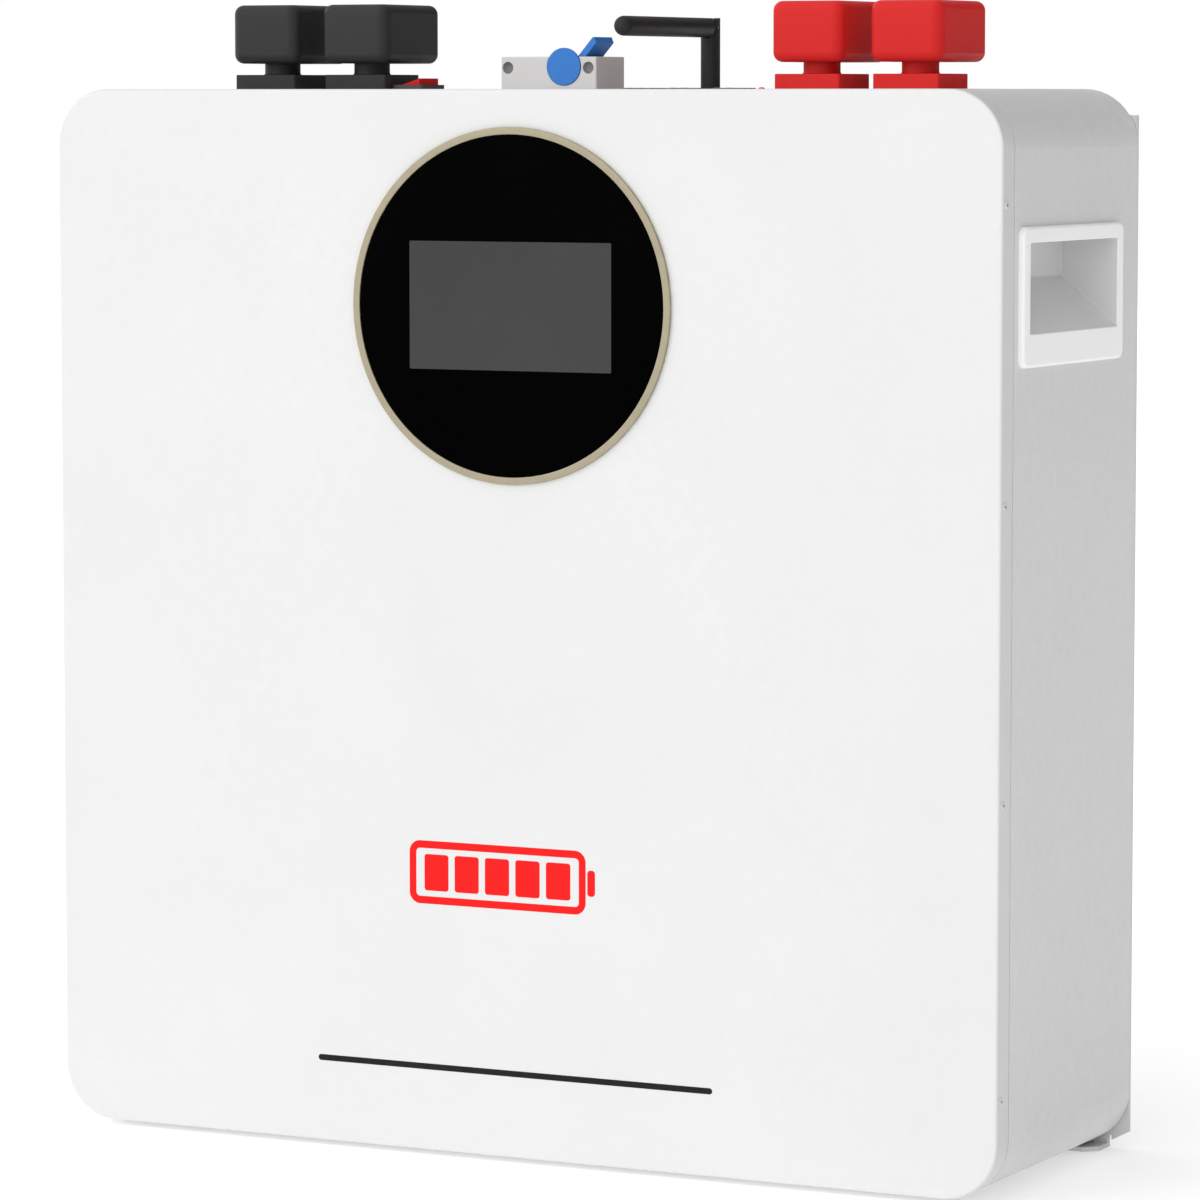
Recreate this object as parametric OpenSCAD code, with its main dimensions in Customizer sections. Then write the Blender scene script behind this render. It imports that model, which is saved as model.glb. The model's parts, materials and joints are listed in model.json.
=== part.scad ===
// Wall-hung 25.6 V lithium iron phosphate battery in a flat sheet-steel case.
// Millimetres. X runs across the front, Y runs back to the wall, Z is up.
// The origin lies on the wall, in the middle of the wall plate's four bolts.

/* [Case] */
// Width of the case seen from the front
case_w = 444; // [430:1:560]
// Height of the case
case_h = 451; // [420:1:600]
// Depth of the case with its front cover
case_d = 147; // [145:1:220]
// Radius of the four long corners
corner_r = 24; // [15:1:30]
// Thickness of the steel sheet
sheet_t = 1.2; // [1:0.1:2]
// Depth of the front cover's skirt
skirt_d = 12; // [10:0.5:18]
// Gap at the seam behind the skirt, and between the skirt and the lip inside it
seam_gap = 0.4; // [0.3:0.1:1]
// How far the lip reaches back along the case wall
lip_weld = 12; // [8:1:20]
// Gap between the front sheet and the lip
lip_setback = 1; // [0.5:0.1:3]
// Distance of the cover screws from the front face
cover_screw_setback = 4; // [4:0.5:7]
// Radius of the cover screws' heads
cover_screw_head = 1.9; // [1.8:0.1:2.6]
// Number of cover screws up each side
cover_screw_count = 4; // [3:1:6]
// Height of the lowest cover screw above the bottom
cover_screw_low = 41.5; // [35:0.5:60]
// Distance of the highest cover screw below the top
cover_screw_high = 46.5; // [38:0.5:60]

/* [Wall bracket] */
// Thickness of the wall plate
plate_t = 2.5; // [2:0.5:5]
// Gap between the wall plate and the case
hang_gap = 0.5; // [0.3:0.1:2]
// How far the plate's side edges stay inside the case's sides
plate_side_in = 0.7; // [0.5:0.1:10]
// Distance of the plate's top edge below the case's top
plate_top_drop = 11; // [5:1:40]
// Height of the plate's lower corners above the case's bottom
plate_low_rise = 5; // [3:0.5:20]
// Width of the cut lower corners
plate_corner_cut = 8; // [4:0.5:20]
// Distance between the wall bolts across
bolt_span_x = 340; // [200:10:380]
// Distance between the wall bolts up and down
bolt_span_z = 320; // [200:10:380]
// Radius of the wall bolt holes
bolt_r = 4.5; // [3:0.5:6]
// Thickness of the two hooks
hook_t = 3; // [2:0.5:4]
// Width of each hook
hook_w = 50; // [30:1:70]
// Height of a hook's upright above its tongue
hook_rise = 13; // [8:1:14]
// Distance of each hook from the middle
hook_x = 130; // [90:5:150]
// Distance of the hooks' tongues below the case's top
hook_drop = 76; // [70:1:90]
// Travel that lifts the case off its hooks
lift_travel = 15; // [15:1:20]
// Reach of the ledge under the case
ledge_reach = 15; // [8:1:40]
// Thickness of the ledge
ledge_t = 2; // [1.5:0.5:4]
// Gap between the ledge and the case's bottom
ledge_gap = 0.3; // [0.3:0.1:1]
// Distance of the ledge's ends inside the case's sides
ledge_side_in = 10; // [9:0.5:40]
// Width of the relief cut at each end of the ledge
relief_w = 1.5; // [1:0.5:3]

/* [Display] */
// Outer radius of the trim ring
ring_r = 74.75; // [60:0.25:90]
// Width of the trim ring
ring_w = 3.1; // [2:0.1:8]
// Thickness of the trim ring
ring_t = 1.6; // [1:0.1:4]
// Distance of the display's middle below the case's top
display_drop = 90.5; // [85:0.5:120]
// Thickness of the round glass
glass_t = 1.3; // [1:0.1:1.5]
// Width of the screen's lit area
lcd_w = 95.04; // [60:0.01:100]
// Height of the screen's lit area
lcd_h = 53.86; // [40:0.01:60]
// Metal frame round the lit area
lcd_rim = 5; // [3:0.5:6]
// Free space between the front sheet and the display board
board_space = 3; // [2:0.5:8]
// Thickness of every circuit board
board_t = 1.6; // [1:0.1:2.4]

/* [Handles] */
// Width of the handle's flange, front to back
handle_w = 109; // [100:1:115]
// Height of the handle's flange
handle_h = 57; // [50:1:70]
// How far the flange stands out from the case
handle_proud = 2.5; // [1:0.5:5]
// Distance of the handle's middle below the case's top
handle_drop = 84; // [60:1:200]
// Distance of the handle's middle from the front face
handle_setback = 71.5; // [68:0.5:90]
// Width of the mouth
mouth_w = 95.5; // [80:0.5:96]
// Height of the mouth
mouth_h = 37; // [30:1:38]
// Border above the mouth
mouth_border = 6.5; // [6:0.5:9]
// Depth of the pocket behind the flange's face
pocket_d = 26; // [20:1:40]
// Rise of the pocket's sloping floor
ramp_rise = 21; // [10:1:25]
// Height of the finger hold above the mouth
finger_rise = 3; // [1:0.5:3.5]
// Thickness of the moulded wall
mould_t = 2; // [1.5:0.5:3]

/* [Terminals] */
// Distance of the outer terminals from the case's sides
terminal_side = 69; // [60:0.5:90]
// Distance between the two terminals of a pair
terminal_pitch = 45; // [42:0.5:48]
// Distance of the terminal row from the front face
row_setback = 75.5; // [70:0.5:110]
// Width of the base
base_w = 30; // [26:0.5:31]
// Depth of the base
base_d = 31; // [24:0.5:34]
// Height of the base
base_h = 6.3; // [4:0.1:8]
// Radius of the neck
neck_r = 7.8; // [7:0.1:10]
// Height of the neck's top above the case
neck_h = 13.7; // [13.3:0.1:14.5]
// Radius of the stud
stud_r = 4; // [3:0.5:4]
// Height of the stud's tip above the case
stud_h = 32.6; // [26:0.1:33]
// Width of the cap
cap_w = 33; // [28:0.5:34]
// Depth of the cap
cap_d = 50.5; // [38:0.5:56]
// How far the cap's front stands out past the base
cap_overhang = 1.4; // [0:0.1:3]
// Height of the cap
cap_h = 25.5; // [25:0.5:36]
// Height of the cap's underside above the case
cap_lift = 11.2; // [9:0.1:11.5]
// Radius of the cable outlet in the cap's back
outlet_r = 6; // [4:0.5:8]
// Play between the cap and the neck
cap_play = 0.08; // [0.05:0.01:0.1]

/* [Breaker] */
// Length of the breaker's nose
nose_l = 45.8; // [40:0.1:50]
// Width of the breaker
breaker_w = 26.8; // [24:0.1:30]
// Height of the nose above the case
nose_h = 13.8; // [12:0.1:16]
// Length of the breaker's body inside the case
breaker_l = 56; // [52:1:58]
// Depth of the breaker's body below the case's top
breaker_depth = 50; // [40:1:60]
// Distance of the nose's middle to the left of the case's middle
breaker_off = 14.3; // [12:0.1:20]
// Distance of the lever's axle to the right of the nose's middle
lever_off = 7.4; // [4:0.1:8]
// Height of the lever's axle above the case
lever_h = 9.6; // [8.8:0.1:10]
// Radius of the lever's disc
disc_r = 7.95; // [7:0.05:8.4]
// Thickness of the lever's disc
disc_t = 1.1; // [0.8:0.1:1.6]
// Radius of the lever's barrel behind the disc
barrel_r = 4; // [3:0.1:4.4]
// Distance of the paddle's tip from the axle
paddle_reach = 18.5; // [14:0.5:20]
// Thickness of the paddle
paddle_t = 2.8; // [2:0.1:3]
// Slant of the paddle away from upright
paddle_lean = 41; // [35:0.5:45]

/* [Switch and ports] */
// Length of the switch's rim
switch_l = 21; // [19:0.5:24]
// Width of the switch's rim
switch_w = 15; // [14.5:0.1:17]
// Height of the switch's rim
rim_h = 1.9; // [1.7:0.1:3]
// Distance of the switch to the left of the case's middle
switch_off = 85; // [70:0.5:86]
// Distance of the first socket to the right of the case's middle
port_off = 25; // [25:0.5:30]
// Distance between sockets
port_pitch = 21; // [18:0.5:22]
// Height of the sockets above the case
port_h = 0.5; // [0.3:0.1:2]
// Distance of the fault lamp to the right of the case's middle
lamp_off = 80; // [78:0.5:84]

/* [Antenna] */
// Radius of the antenna
antenna_r = 4.2; // [3:0.1:5]
// Distance of the antenna to the right of the case's middle
antenna_off = 38; // [30:0.5:50]
// Distance of the antenna from the front face
antenna_setback = 113; // [108:1:120]
// Height of the elbow's middle above the case
elbow_h = 26.3; // [24:0.1:40]
// Length of the arm from the elbow's middle to its tip
arm_l = 87.5; // [60:0.5:88]

/* [Cells] */
// Thickness of one cell
cell_t = 36.35; // [30:0.05:40]
// Width of one cell
cell_w = 130.3; // [120:0.1:132]
// Height of one cell
cell_h = 200.5; // [180:0.5:205]
// Thickness of the board between cells
spacer_t = 0.8; // [0.5:0.1:1.5]
// Thickness of the end plates
end_plate_t = 10; // [6:1:14]

/* [Hidden] */
$fn = 64;

// Faces of the case
top = case_h / 2;
side = case_w / 2;
y_back = -(plate_t + hang_gap);
y_front = y_back - case_d;
y_seam = y_front + skirt_d + seam_gap;
y_inside_back = y_back - sheet_t;
row_y = y_front + row_setback;

// Inner face of the lip, measured from the case's outside
lip_inside = 2 * sheet_t + seam_gap;

// Positions along the top
terminal_x = [
    -(side - terminal_side), -(side - terminal_side - terminal_pitch),
    side - terminal_side - terminal_pitch, side - terminal_side
];
cap_setback = base_d / 2 + cap_overhang;
breaker_x = -breaker_off;
lever_x = breaker_x + lever_off;
hub_gap = 0.3;
ports_x = [for (i = [0:2]) port_off + i * port_pitch];
antenna_y = y_front + antenna_setback;

// Terminal stack, measured from the case's top
cap_wall = 2;
base_corner = 1;
base_screw_x = base_w / 2 - 3.5;
base_screw_y = base_d / 2 - 3.5;
base_screw_r = 2.2;
base_screw_sink = 1.6;
spigot_r = neck_r + 0.8;
spigot_depth = sheet_t + 3;
collar_t = 2;
bar_t = 3;
nut_h = 6.5;
nut_r = 7.5;
contact_t = 1.5;
spring_t = 1.5;
stud_play = 0.05;
nut_top = neck_h + contact_t + spring_t + nut_h;
relief_h = 0.8;
relief_depth = 0.4;

// Display stack
display_z = top - display_drop;
window_r = ring_r - ring_w - 5;
lcd_t = sheet_t + board_space;
display_board_w = 2 * window_r - 4;
display_board_h = 92;
standoff_x = display_board_w / 2 - 6;
standoff_z = display_board_h / 2 - 5;

// Handle
handle_y = y_front + handle_setback;
handle_z = top - handle_drop;
handle_face = side + handle_proud;
mouth_top = handle_h / 2 - mouth_border;
mouth_low = mouth_top - mouth_h;
pocket_x = handle_face - pocket_d;
pocket_top = mouth_top + finger_rise;
lip_t = 4.5;
cut_play = 0.3;

// Cell pack
cell_count = 8;
pack_w = cell_count * cell_t + (cell_count - 1) * spacer_t;
tray_t = 3;
pack_low = -top + lip_inside + tray_t;
pack_y = (y_front + y_inside_back) / 2 + sheet_t / 2;
post_h = 4;
post_y = cell_w / 2 - 30;
rod_r = 2.5;
rod_play = 0.1;
rod_nut_r = 4.6;
rod_nut_t = 5;
rod_z = [30, cell_h - 30];
rod_y = cell_w / 2 + rod_r + 0.3;
tray_d = cell_w + 4 * rod_r + 2;
link_t = 2;
heatsink_t = 6;
heatsink_w = 240;
heatsink_h = 88;
heatsink_z = top - hook_drop - lift_travel - hook_t - 20 - heatsink_h / 2;
bms_gap = 8;
cable_r = 4.5;
cable_end = 0.2;

// ---------- shared shapes ----------

// Flat shape with four round corners
module rounded_rect(w, h, r) {
    square([w - 2 * r, h], center = true);
    square([w, h - 2 * r], center = true);
    for (sx = [-1, 1], sy = [-1, 1])
        translate([sx * (w / 2 - r), sy * (h / 2 - r)]) circle(r);
}

// Upright slab between two depths, seen from the front as a rounded rectangle
module slab(w, h, r, y0, y1) {
    translate([0, y1, 0]) rotate([90, 0, 0]) linear_extrude(y1 - y0) rounded_rect(w, h, r);
}

// Plate that lies across X
module side_plate(w, h, r, t) {
    rotate([90, 0, 90]) linear_extrude(t) rounded_rect(w, h, r);
}

// Block with round upright corners, standing on its base
module post_block(w, d, h, r) {
    linear_extrude(h) rounded_rect(w, d, r);
}

// Outline in X and Z, extruded along Y between two depths
module profile_y(points, y0, y1) {
    translate([0, y1, 0]) rotate([90, 0, 0]) linear_extrude(y1 - y0) polygon(points);
}

// Outline in Y and Z, extruded along X between two places
module profile_x(points, x0, x1) {
    translate([x0, 0, 0]) rotate([90, 0, 90]) linear_extrude(x1 - x0) polygon(points);
}

// Rod along Y between two depths
module rod_y_dir(r, y0, y1) {
    translate([0, y1, 0]) rotate([90, 0, 0]) cylinder(r = r, h = y1 - y0);
}

// Rod along X between two places
module rod_x_dir(r, x0, x1) {
    translate([x0, 0, 0]) rotate([0, 90, 0]) cylinder(r = r, h = x1 - x0);
}

// Flat ring standing on its lower face
module washer(r_out, r_in, t) {
    difference() {
        cylinder(r = r_out, h = t);
        translate([0, 0, -1]) cylinder(r = r_in, h = t + 2);
    }
}

// Hexagon nut standing on its lower face
module hex_nut(r_out, r_in, t) {
    difference() {
        cylinder(r = r_out, h = t, $fn = 6);
        translate([0, 0, -1]) cylinder(r = r_in, h = t + 2);
    }
}

// Route with each inner corner eased into a short curve
function eased(p, cut) = [
    p[0],
    for (i = [1:1:len(p) - 2]) let (
        a = p[i] + (p[i - 1] - p[i]) * min(0.45, cut / norm(p[i - 1] - p[i])),
        b = p[i] + (p[i + 1] - p[i]) * min(0.45, cut / norm(p[i + 1] - p[i]))
    ) each [for (t = [0:0.25:1]) (1 - t) * (1 - t) * a + 2 * t * (1 - t) * p[i] + t * t * b],
    p[len(p) - 1]
];
function heading(p, i) =
    let (d = p[min(i + 1, len(p) - 1)] - p[max(i - 1, 0)]) d / norm(d);
function across(t) = let (c = cross(t, [0.31, 0.52, 0.79])) c / norm(c);

// Round cable through a list of points, as one closed sweep
module cable(route, r) {
    sides = 8;
    p = eased(route, 14);
    rings = len(p);
    polyhedron(
        points = [
            for (i = [0:rings - 1], k = [0:sides - 1])
                let (t = heading(p, i), u = across(t), v = cross(t, u), a = 360 * k / sides)
                    p[i] + r * (cos(a) * u + sin(a) * v)
        ],
        faces = [
            [for (k = [0:sides - 1]) k],
            [for (k = [sides - 1:-1:0]) (rings - 1) * sides + k],
            for (i = [0:rings - 2], k = [0:sides - 1]) let (n = (k + 1) % sides)
                [i * sides + k, (i + 1) * sides + k, (i + 1) * sides + n, i * sides + n]
        ]
    );
}

function cover_screw_z(i) =
    -top + cover_screw_low
    + i * (case_h - cover_screw_low - cover_screw_high) / (cover_screw_count - 1);

// ---------- wall bracket ----------

module wall_plate() color("gainsboro") {
    half = side - plate_side_in;
    high = top - plate_top_drop;
    low = -top + plate_low_rise;
    ledge_half = side - ledge_side_in;
    shelf_top = -top - ledge_gap;
    shelf_low = shelf_top - ledge_t;
    cut_x = half - plate_corner_cut;
    cut_z = low - plate_corner_cut / 2;
    difference() {
        union() {
            profile_y([
                [-ledge_half, shelf_low], [ledge_half, shelf_low],
                [ledge_half, cut_z + 2], [ledge_half + relief_w, cut_z + 2],
                [ledge_half + relief_w, cut_z], [max(cut_x, ledge_half + relief_w + 0.2), cut_z],
                [half, low], [half, high], [-half, high], [-half, low],
                [-max(cut_x, ledge_half + relief_w + 0.2), cut_z], [-ledge_half - relief_w, cut_z],
                [-ledge_half - relief_w, cut_z + 2], [-ledge_half, cut_z + 2]
            ], -plate_t, 0);
            translate([0, 0, shelf_low]) linear_extrude(ledge_t) polygon([
                [-ledge_half, -plate_t / 2], [-ledge_half, -plate_t - ledge_reach + 5],
                [-ledge_half + 6, -plate_t - ledge_reach], [ledge_half - 6, -plate_t - ledge_reach],
                [ledge_half, -plate_t - ledge_reach + 5], [ledge_half, -plate_t / 2]
            ]);
        }
        for (sx = [-1, 1], sz = [-1, 1])
            translate([sx * bolt_span_x / 2, 0, sz * bolt_span_z / 2])
                rod_y_dir(bolt_r, -plate_t - 1, 1);
    }
}

module hanger_hooks() color("gainsboro") {
    tongue_top = top - hook_drop;
    reach = y_inside_back - 0.3;
    for (s = [-1, 1])
        profile_x([
            [-plate_t, tongue_top - hook_t], [-plate_t, tongue_top], [reach, tongue_top],
            [reach, tongue_top + hook_rise], [reach - hook_t, tongue_top + hook_rise],
            [reach - hook_t, tongue_top - hook_t]
        ], s * hook_x - hook_w / 2, s * hook_x + hook_w / 2);
}

// ---------- case ----------

// Everything that is cut through the case's top sheet
module top_cuts() {
    deep = 2 * sheet_t;
    translate([0, 0, top - deep]) {
        for (x = terminal_x) translate([x, row_y, 0]) cylinder(r = spigot_r + 0.1, h = 2 * deep);
        translate([breaker_x, row_y, 0])
            post_block(nose_l + 2 * cut_play, breaker_w + 2 * cut_play, 2 * deep, 1);
        translate([-switch_off, row_y, 0])
            post_block(switch_w - 0.7, switch_l - 1.6, 2 * deep, 0.5);
        for (x = ports_x)
            translate([x, row_y, 0]) post_block(port_w + 0.4, port_l + 0.4, 2 * deep, 0.5);
        translate([lamp_off, row_y, 0]) cylinder(r = 1.6, h = 2 * deep);
        translate([antenna_off, antenna_y, 0]) cylinder(r = antenna_r + 0.1, h = 2 * deep);
    }
}

// Opening in a side wall for a handle's pocket
module handle_cut() {
    h = pocket_top - mouth_low + 2 * mould_t + 2 * cut_play;
    z = handle_z + (pocket_top + mouth_low) / 2;
    translate([side - 3 * sheet_t, handle_y, z])
        side_plate(mouth_w + 2 * mould_t + 2 * cut_play, h, 1, 6 * sheet_t);
}

module cover_screw_holes(r) {
    for (s = [-1, 1], i = [0:cover_screw_count - 1])
        translate([0, y_front + cover_screw_setback, cover_screw_z(i)])
            rod_x_dir(r, s > 0 ? side - 8 : -side - 4, s > 0 ? side + 4 : -side + 8);
}

module case_tub() color("whitesmoke") {
    lip_in = sheet_t + seam_gap;
    hook_slot_top = top - hook_drop + 0.05;
    hook_slot_low = hook_slot_top - hook_t - lift_travel - 1;
    difference() {
        union() {
            slab(case_w, case_h, corner_r, y_seam, y_back);
            slab(case_w - 2 * lip_in, case_h - 2 * lip_in, corner_r - lip_in,
                y_front + sheet_t + lip_setback, y_seam + 1);
        }
        slab(case_w - 2 * lip_inside, case_h - 2 * lip_inside, corner_r - lip_inside,
            y_front, y_seam + lip_weld);
        slab(case_w - 2 * sheet_t, case_h - 2 * sheet_t, corner_r - sheet_t,
            y_seam + lip_weld - 1, y_inside_back);
        top_cuts();
        handle_cut();
        mirror([1, 0, 0]) handle_cut();
        cover_screw_holes(1.55);
        for (s = [-1, 1])
            translate([s * hook_x - hook_w / 2 - 1, y_inside_back - 1, hook_slot_low])
                cube([hook_w + 2, sheet_t + 2, hook_slot_top - hook_slot_low]);
    }
}

module front_cover() color("white") {
    difference() {
        slab(case_w, case_h, corner_r, y_front, y_front + skirt_d);
        slab(case_w - 2 * sheet_t, case_h - 2 * sheet_t, corner_r - sheet_t,
            y_front + sheet_t, y_front + skirt_d + 1);
        translate([0, 0, display_z]) rod_y_dir(window_r, y_front - 1, y_front + sheet_t + 1);
        cover_screw_holes(1.6);
    }
}

module cover_screws() color("dimgray") {
    for (s = [0, 1], i = [0:cover_screw_count - 1])
        mirror([s, 0, 0])
            translate([0, y_front + cover_screw_setback, cover_screw_z(i)]) {
                rod_x_dir(1.5, side - 6, side + 0.1);
                rod_x_dir(cover_screw_head, side, side + 0.5);
            }
}

// ---------- display ----------

module display_ring() color("darkkhaki") {
    translate([0, 0, display_z]) difference() {
        rod_y_dir(ring_r, y_front - ring_t, y_front);
        rod_y_dir(ring_r - ring_w, y_front - ring_t - 1, y_front + 1);
    }
}

module display_glass() color("black") {
    translate([0, 0, display_z]) rod_y_dir(ring_r - ring_w - 0.1, y_front - glass_t, y_front);
}

module lcd_module() color("dimgray") {
    translate([0, 0, display_z])
        slab(lcd_w + 2 * lcd_rim, lcd_h + 2 * lcd_rim, 1, y_front, y_front + lcd_t);
}

module display_board() color("darkgreen") {
    y = y_front + lcd_t;
    translate([0, 0, display_z]) difference() {
        slab(display_board_w, display_board_h, 3, y, y + board_t);
        for (sx = [-1, 1], sz = [-1, 1])
            translate([sx * standoff_x, 0, sz * standoff_z]) rod_y_dir(1.6, y - 1, y + board_t + 1);
    }
}

// Threaded spacers that are welded behind the front sheet, with a screw in each
module display_standoffs() color("silver") {
    for (sx = [-1, 1], sz = [-1, 1])
        translate([sx * standoff_x, 0, display_z + sz * standoff_z]) {
            rod_y_dir(2.6, y_front + sheet_t, y_front + lcd_t);
            rod_y_dir(1.5, y_front + lcd_t - 1, y_front + lcd_t + board_t + 0.2);
            rod_y_dir(2.8, y_front + lcd_t + board_t, y_front + lcd_t + board_t + 1.8);
        }
}

// ---------- handles ----------

module handle_right() color("white") {
    half = mouth_w / 2;
    translate([0, handle_y, handle_z]) difference() {
        union() {
            translate([side, 0, 0]) side_plate(handle_w, handle_h, 4, handle_proud);
            profile_y([
                [side + 0.5, mouth_low - mould_t], [side + 0.5, pocket_top + mould_t],
                [pocket_x - mould_t, pocket_top + mould_t],
                [pocket_x - mould_t, mouth_low + ramp_rise - mould_t],
                [side - sheet_t - 1, mouth_low - mould_t]
            ], -half - mould_t, half + mould_t);
        }
        profile_y([
            [handle_face + 1, mouth_low], [handle_face + 1, mouth_top],
            [handle_face - lip_t, mouth_top], [handle_face - lip_t, pocket_top],
            [pocket_x, pocket_top], [pocket_x, mouth_low + ramp_rise],
            [handle_face - 0.5, mouth_low]
        ], -half, half);
    }
}

module handle_left() mirror([1, 0, 0]) handle_right();

// ---------- terminals ----------

module at_terminal(x) translate([x, row_y, top]) children();

module terminal_base() {
    difference() {
        union() {
            post_block(base_w, base_d, base_h, base_corner);
            translate([0, 0, 1]) cylinder(r = neck_r, h = neck_h - 1);
            translate([0, 0, -spigot_depth]) cylinder(r = spigot_r, h = spigot_depth + 1);
        }
        translate([0, 0, -50]) cylinder(r = stud_r + stud_play, h = 100);
        for (sx = [-1, 1], sy = [-1, 1])
            translate([sx * base_screw_x, sy * base_screw_y, 0]) {
                translate([0, 0, base_h - 4.6]) cylinder(r = 1.3, h = 10);
                translate([0, 0, base_h - base_screw_sink]) cylinder(r = base_screw_r + 0.15, h = 10);
            }
    }
}

module negative_terminal_bases() color("black") {
    for (i = [0, 1]) at_terminal(terminal_x[i]) terminal_base();
}

module positive_terminal_bases() color("crimson") {
    for (i = [2, 3]) at_terminal(terminal_x[i]) terminal_base();
}

module terminal_studs() color("goldenrod") {
    low = -spigot_depth - collar_t - bar_t - nut_h - 4;
    for (x = terminal_x) at_terminal(x) {
        difference() {
            translate([0, 0, low]) cylinder(r = stud_r, h = stud_h - low);
            translate([0, 0, nut_top]) washer(stud_r + 1, stud_r - relief_depth, relief_h);
        }
        translate([0, 0, -spigot_depth - collar_t]) cylinder(r = spigot_r, h = collar_t);
    }
}

module contact_washers() color("goldenrod") {
    for (x = terminal_x) at_terminal(x) translate([0, 0, neck_h])
        washer(neck_r - 0.3, stud_r + stud_play, contact_t);
}

module spring_washers() color("silver") {
    for (x = terminal_x) at_terminal(x) translate([0, 0, neck_h + contact_t])
        washer(stud_r + 2.6, stud_r + stud_play, spring_t);
}

module terminal_nuts() color("silver") {
    for (x = terminal_x) at_terminal(x) translate([0, 0, neck_h + contact_t + spring_t])
        hex_nut(nut_r, stud_r + stud_play, nut_h);
}

module base_screws() color("gray") {
    for (x = terminal_x, sx = [-1, 1], sy = [-1, 1])
        at_terminal(x)
            translate([sx * base_screw_x, sy * base_screw_y, base_h]) {
                translate([0, 0, -4.5]) cylinder(r = 1.25, h = 3.5);
                translate([0, 0, -base_screw_sink]) cylinder(r = base_screw_r, h = 1.4);
            }
}

module inner_insulators() color("ivory") {
    for (x = terminal_x) at_terminal(x) translate([0, 0, -spigot_depth])
        washer(spigot_r + 4, spigot_r + 0.05, spigot_depth - sheet_t);
}

module inner_nuts() color("silver") {
    for (x = terminal_x) at_terminal(x)
        translate([0, 0, -spigot_depth - collar_t - bar_t - nut_h])
            hex_nut(nut_r, stud_r + stud_play, nut_h);
}

// Copper bar that joins the two studs of one pole
module pole_bar(i, j) {
    z = top - spigot_depth - collar_t - bar_t;
    difference() {
        translate([(terminal_x[i] + terminal_x[j]) / 2, row_y, z])
            post_block(terminal_pitch + 22, 20, bar_t, 3);
        for (k = [i, j]) translate([terminal_x[k], row_y, z - 1])
            cylinder(r = stud_r + stud_play, h = bar_t + 2);
    }
}

module negative_busbar() color("peru") pole_bar(0, 1);
module positive_busbar() color("peru") pole_bar(2, 3);

// Hollow cover that pulls up off the neck, with a cable outlet in its back
module terminal_cap(x) {
    y = cap_d / 2 - cap_setback;
    at_terminal(x) difference() {
        translate([0, y, cap_lift]) post_block(cap_w, cap_d, cap_h, 5);
        translate([0, y, cap_lift + cap_wall])
            post_block(cap_w - 2 * cap_wall, cap_d - 2 * cap_wall, cap_h - 2 * cap_wall, 3);
        cylinder(r = neck_r + cap_play, h = cap_lift + cap_wall + 1);
        translate([0, 0, cap_lift + cap_h / 2])
            rod_y_dir(outlet_r, y + cap_d / 2 - cap_wall - 2, y + cap_d / 2 + 2);
    }
}

module cap_negative_outer() color("black") terminal_cap(terminal_x[0]);
module cap_negative_inner() color("black") terminal_cap(terminal_x[1]);
module cap_positive_inner() color("red") terminal_cap(terminal_x[2]);
module cap_positive_outer() color("red") terminal_cap(terminal_x[3]);

// ---------- breaker ----------

disc_proud = 0.4;
disc_back = row_y - breaker_w / 2 - disc_proud + disc_t;
front_web = disc_t - disc_proud + hub_gap;
paddle_front = row_y - breaker_w / 2 + front_web + hub_gap;
barrel_back = row_y + breaker_w / 2 - 8.5;
paddle_back = barrel_back - 0.2;
paddle_in = 1.7;
throw = 84;

// Clearance of the paddle's far side from the axle
slot_out = paddle_in + paddle_t + hub_gap;

// Places along the top where the two rivets sit in the nose
rivet_x = [breaker_x - nose_l / 2 + 3.3, breaker_x + nose_l / 2 - 3.9];
rivet_r = 2.6;
rivet_depth = 2;

// Point at a distance up and across a paddle that leans by an angle
function on_paddle(lean, up, across) =
    [up * sin(lean) + across * cos(lean), up * cos(lean) - across * sin(lean)];

// Room that the paddle sweeps, with the running gap on both sides
module paddle_slot() {
    reach = paddle_reach + 1;
    profile_y([
        on_paddle(paddle_lean, 0, slot_out), on_paddle(paddle_lean, reach, slot_out),
        on_paddle(paddle_lean - throw, reach, paddle_in - hub_gap),
        on_paddle(paddle_lean - throw, 0, paddle_in - hub_gap)
    ], paddle_front - hub_gap, paddle_back + hub_gap);
}

module breaker_body() color("lightgray") {
    y0 = row_y - breaker_w / 2;
    y1 = row_y + breaker_w / 2;
    difference() {
        union() {
            translate([breaker_x, row_y, top - breaker_depth])
                post_block(breaker_l, breaker_w, breaker_depth - sheet_t - cut_play, 1);
            translate([breaker_x, row_y, top - 10]) post_block(nose_l, breaker_w, nose_h + 10, 0.6);
        }
        translate([lever_x, 0, top + lever_h]) {
            rod_y_dir(disc_r + hub_gap, y0 - 1, y0 + front_web);
            rod_y_dir(slot_out + 0.1, y0 + front_web - 0.5, barrel_back + hub_gap);
            paddle_slot();
            rod_y_dir(1.5, y0 + front_web - 0.5, y1 - 1);
        }
        for (x = rivet_x) translate([x, 0, top + lever_h - 0.5]) {
            rod_y_dir(rivet_r, y0 - 1, y0 + rivet_depth);
            rod_y_dir(rivet_r, y1 - rivet_depth, y1 + 1);
        }
    }
}

module breaker_pivot_pin() color("silver") {
    translate([lever_x, 0, top + lever_h])
        rod_y_dir(1.5, row_y - breaker_w / 2 + 2.5, row_y + breaker_w / 2 - 1);
}

module breaker_rivets() color("dimgray") {
    for (x = rivet_x) translate([x, 0, top + lever_h - 0.5]) {
        rod_y_dir(rivet_r, row_y - breaker_w / 2 + 0.8, row_y - breaker_w / 2 + rivet_depth);
        rod_y_dir(rivet_r, row_y + breaker_w / 2 - rivet_depth, row_y + breaker_w / 2 - 0.8);
    }
}

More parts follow.
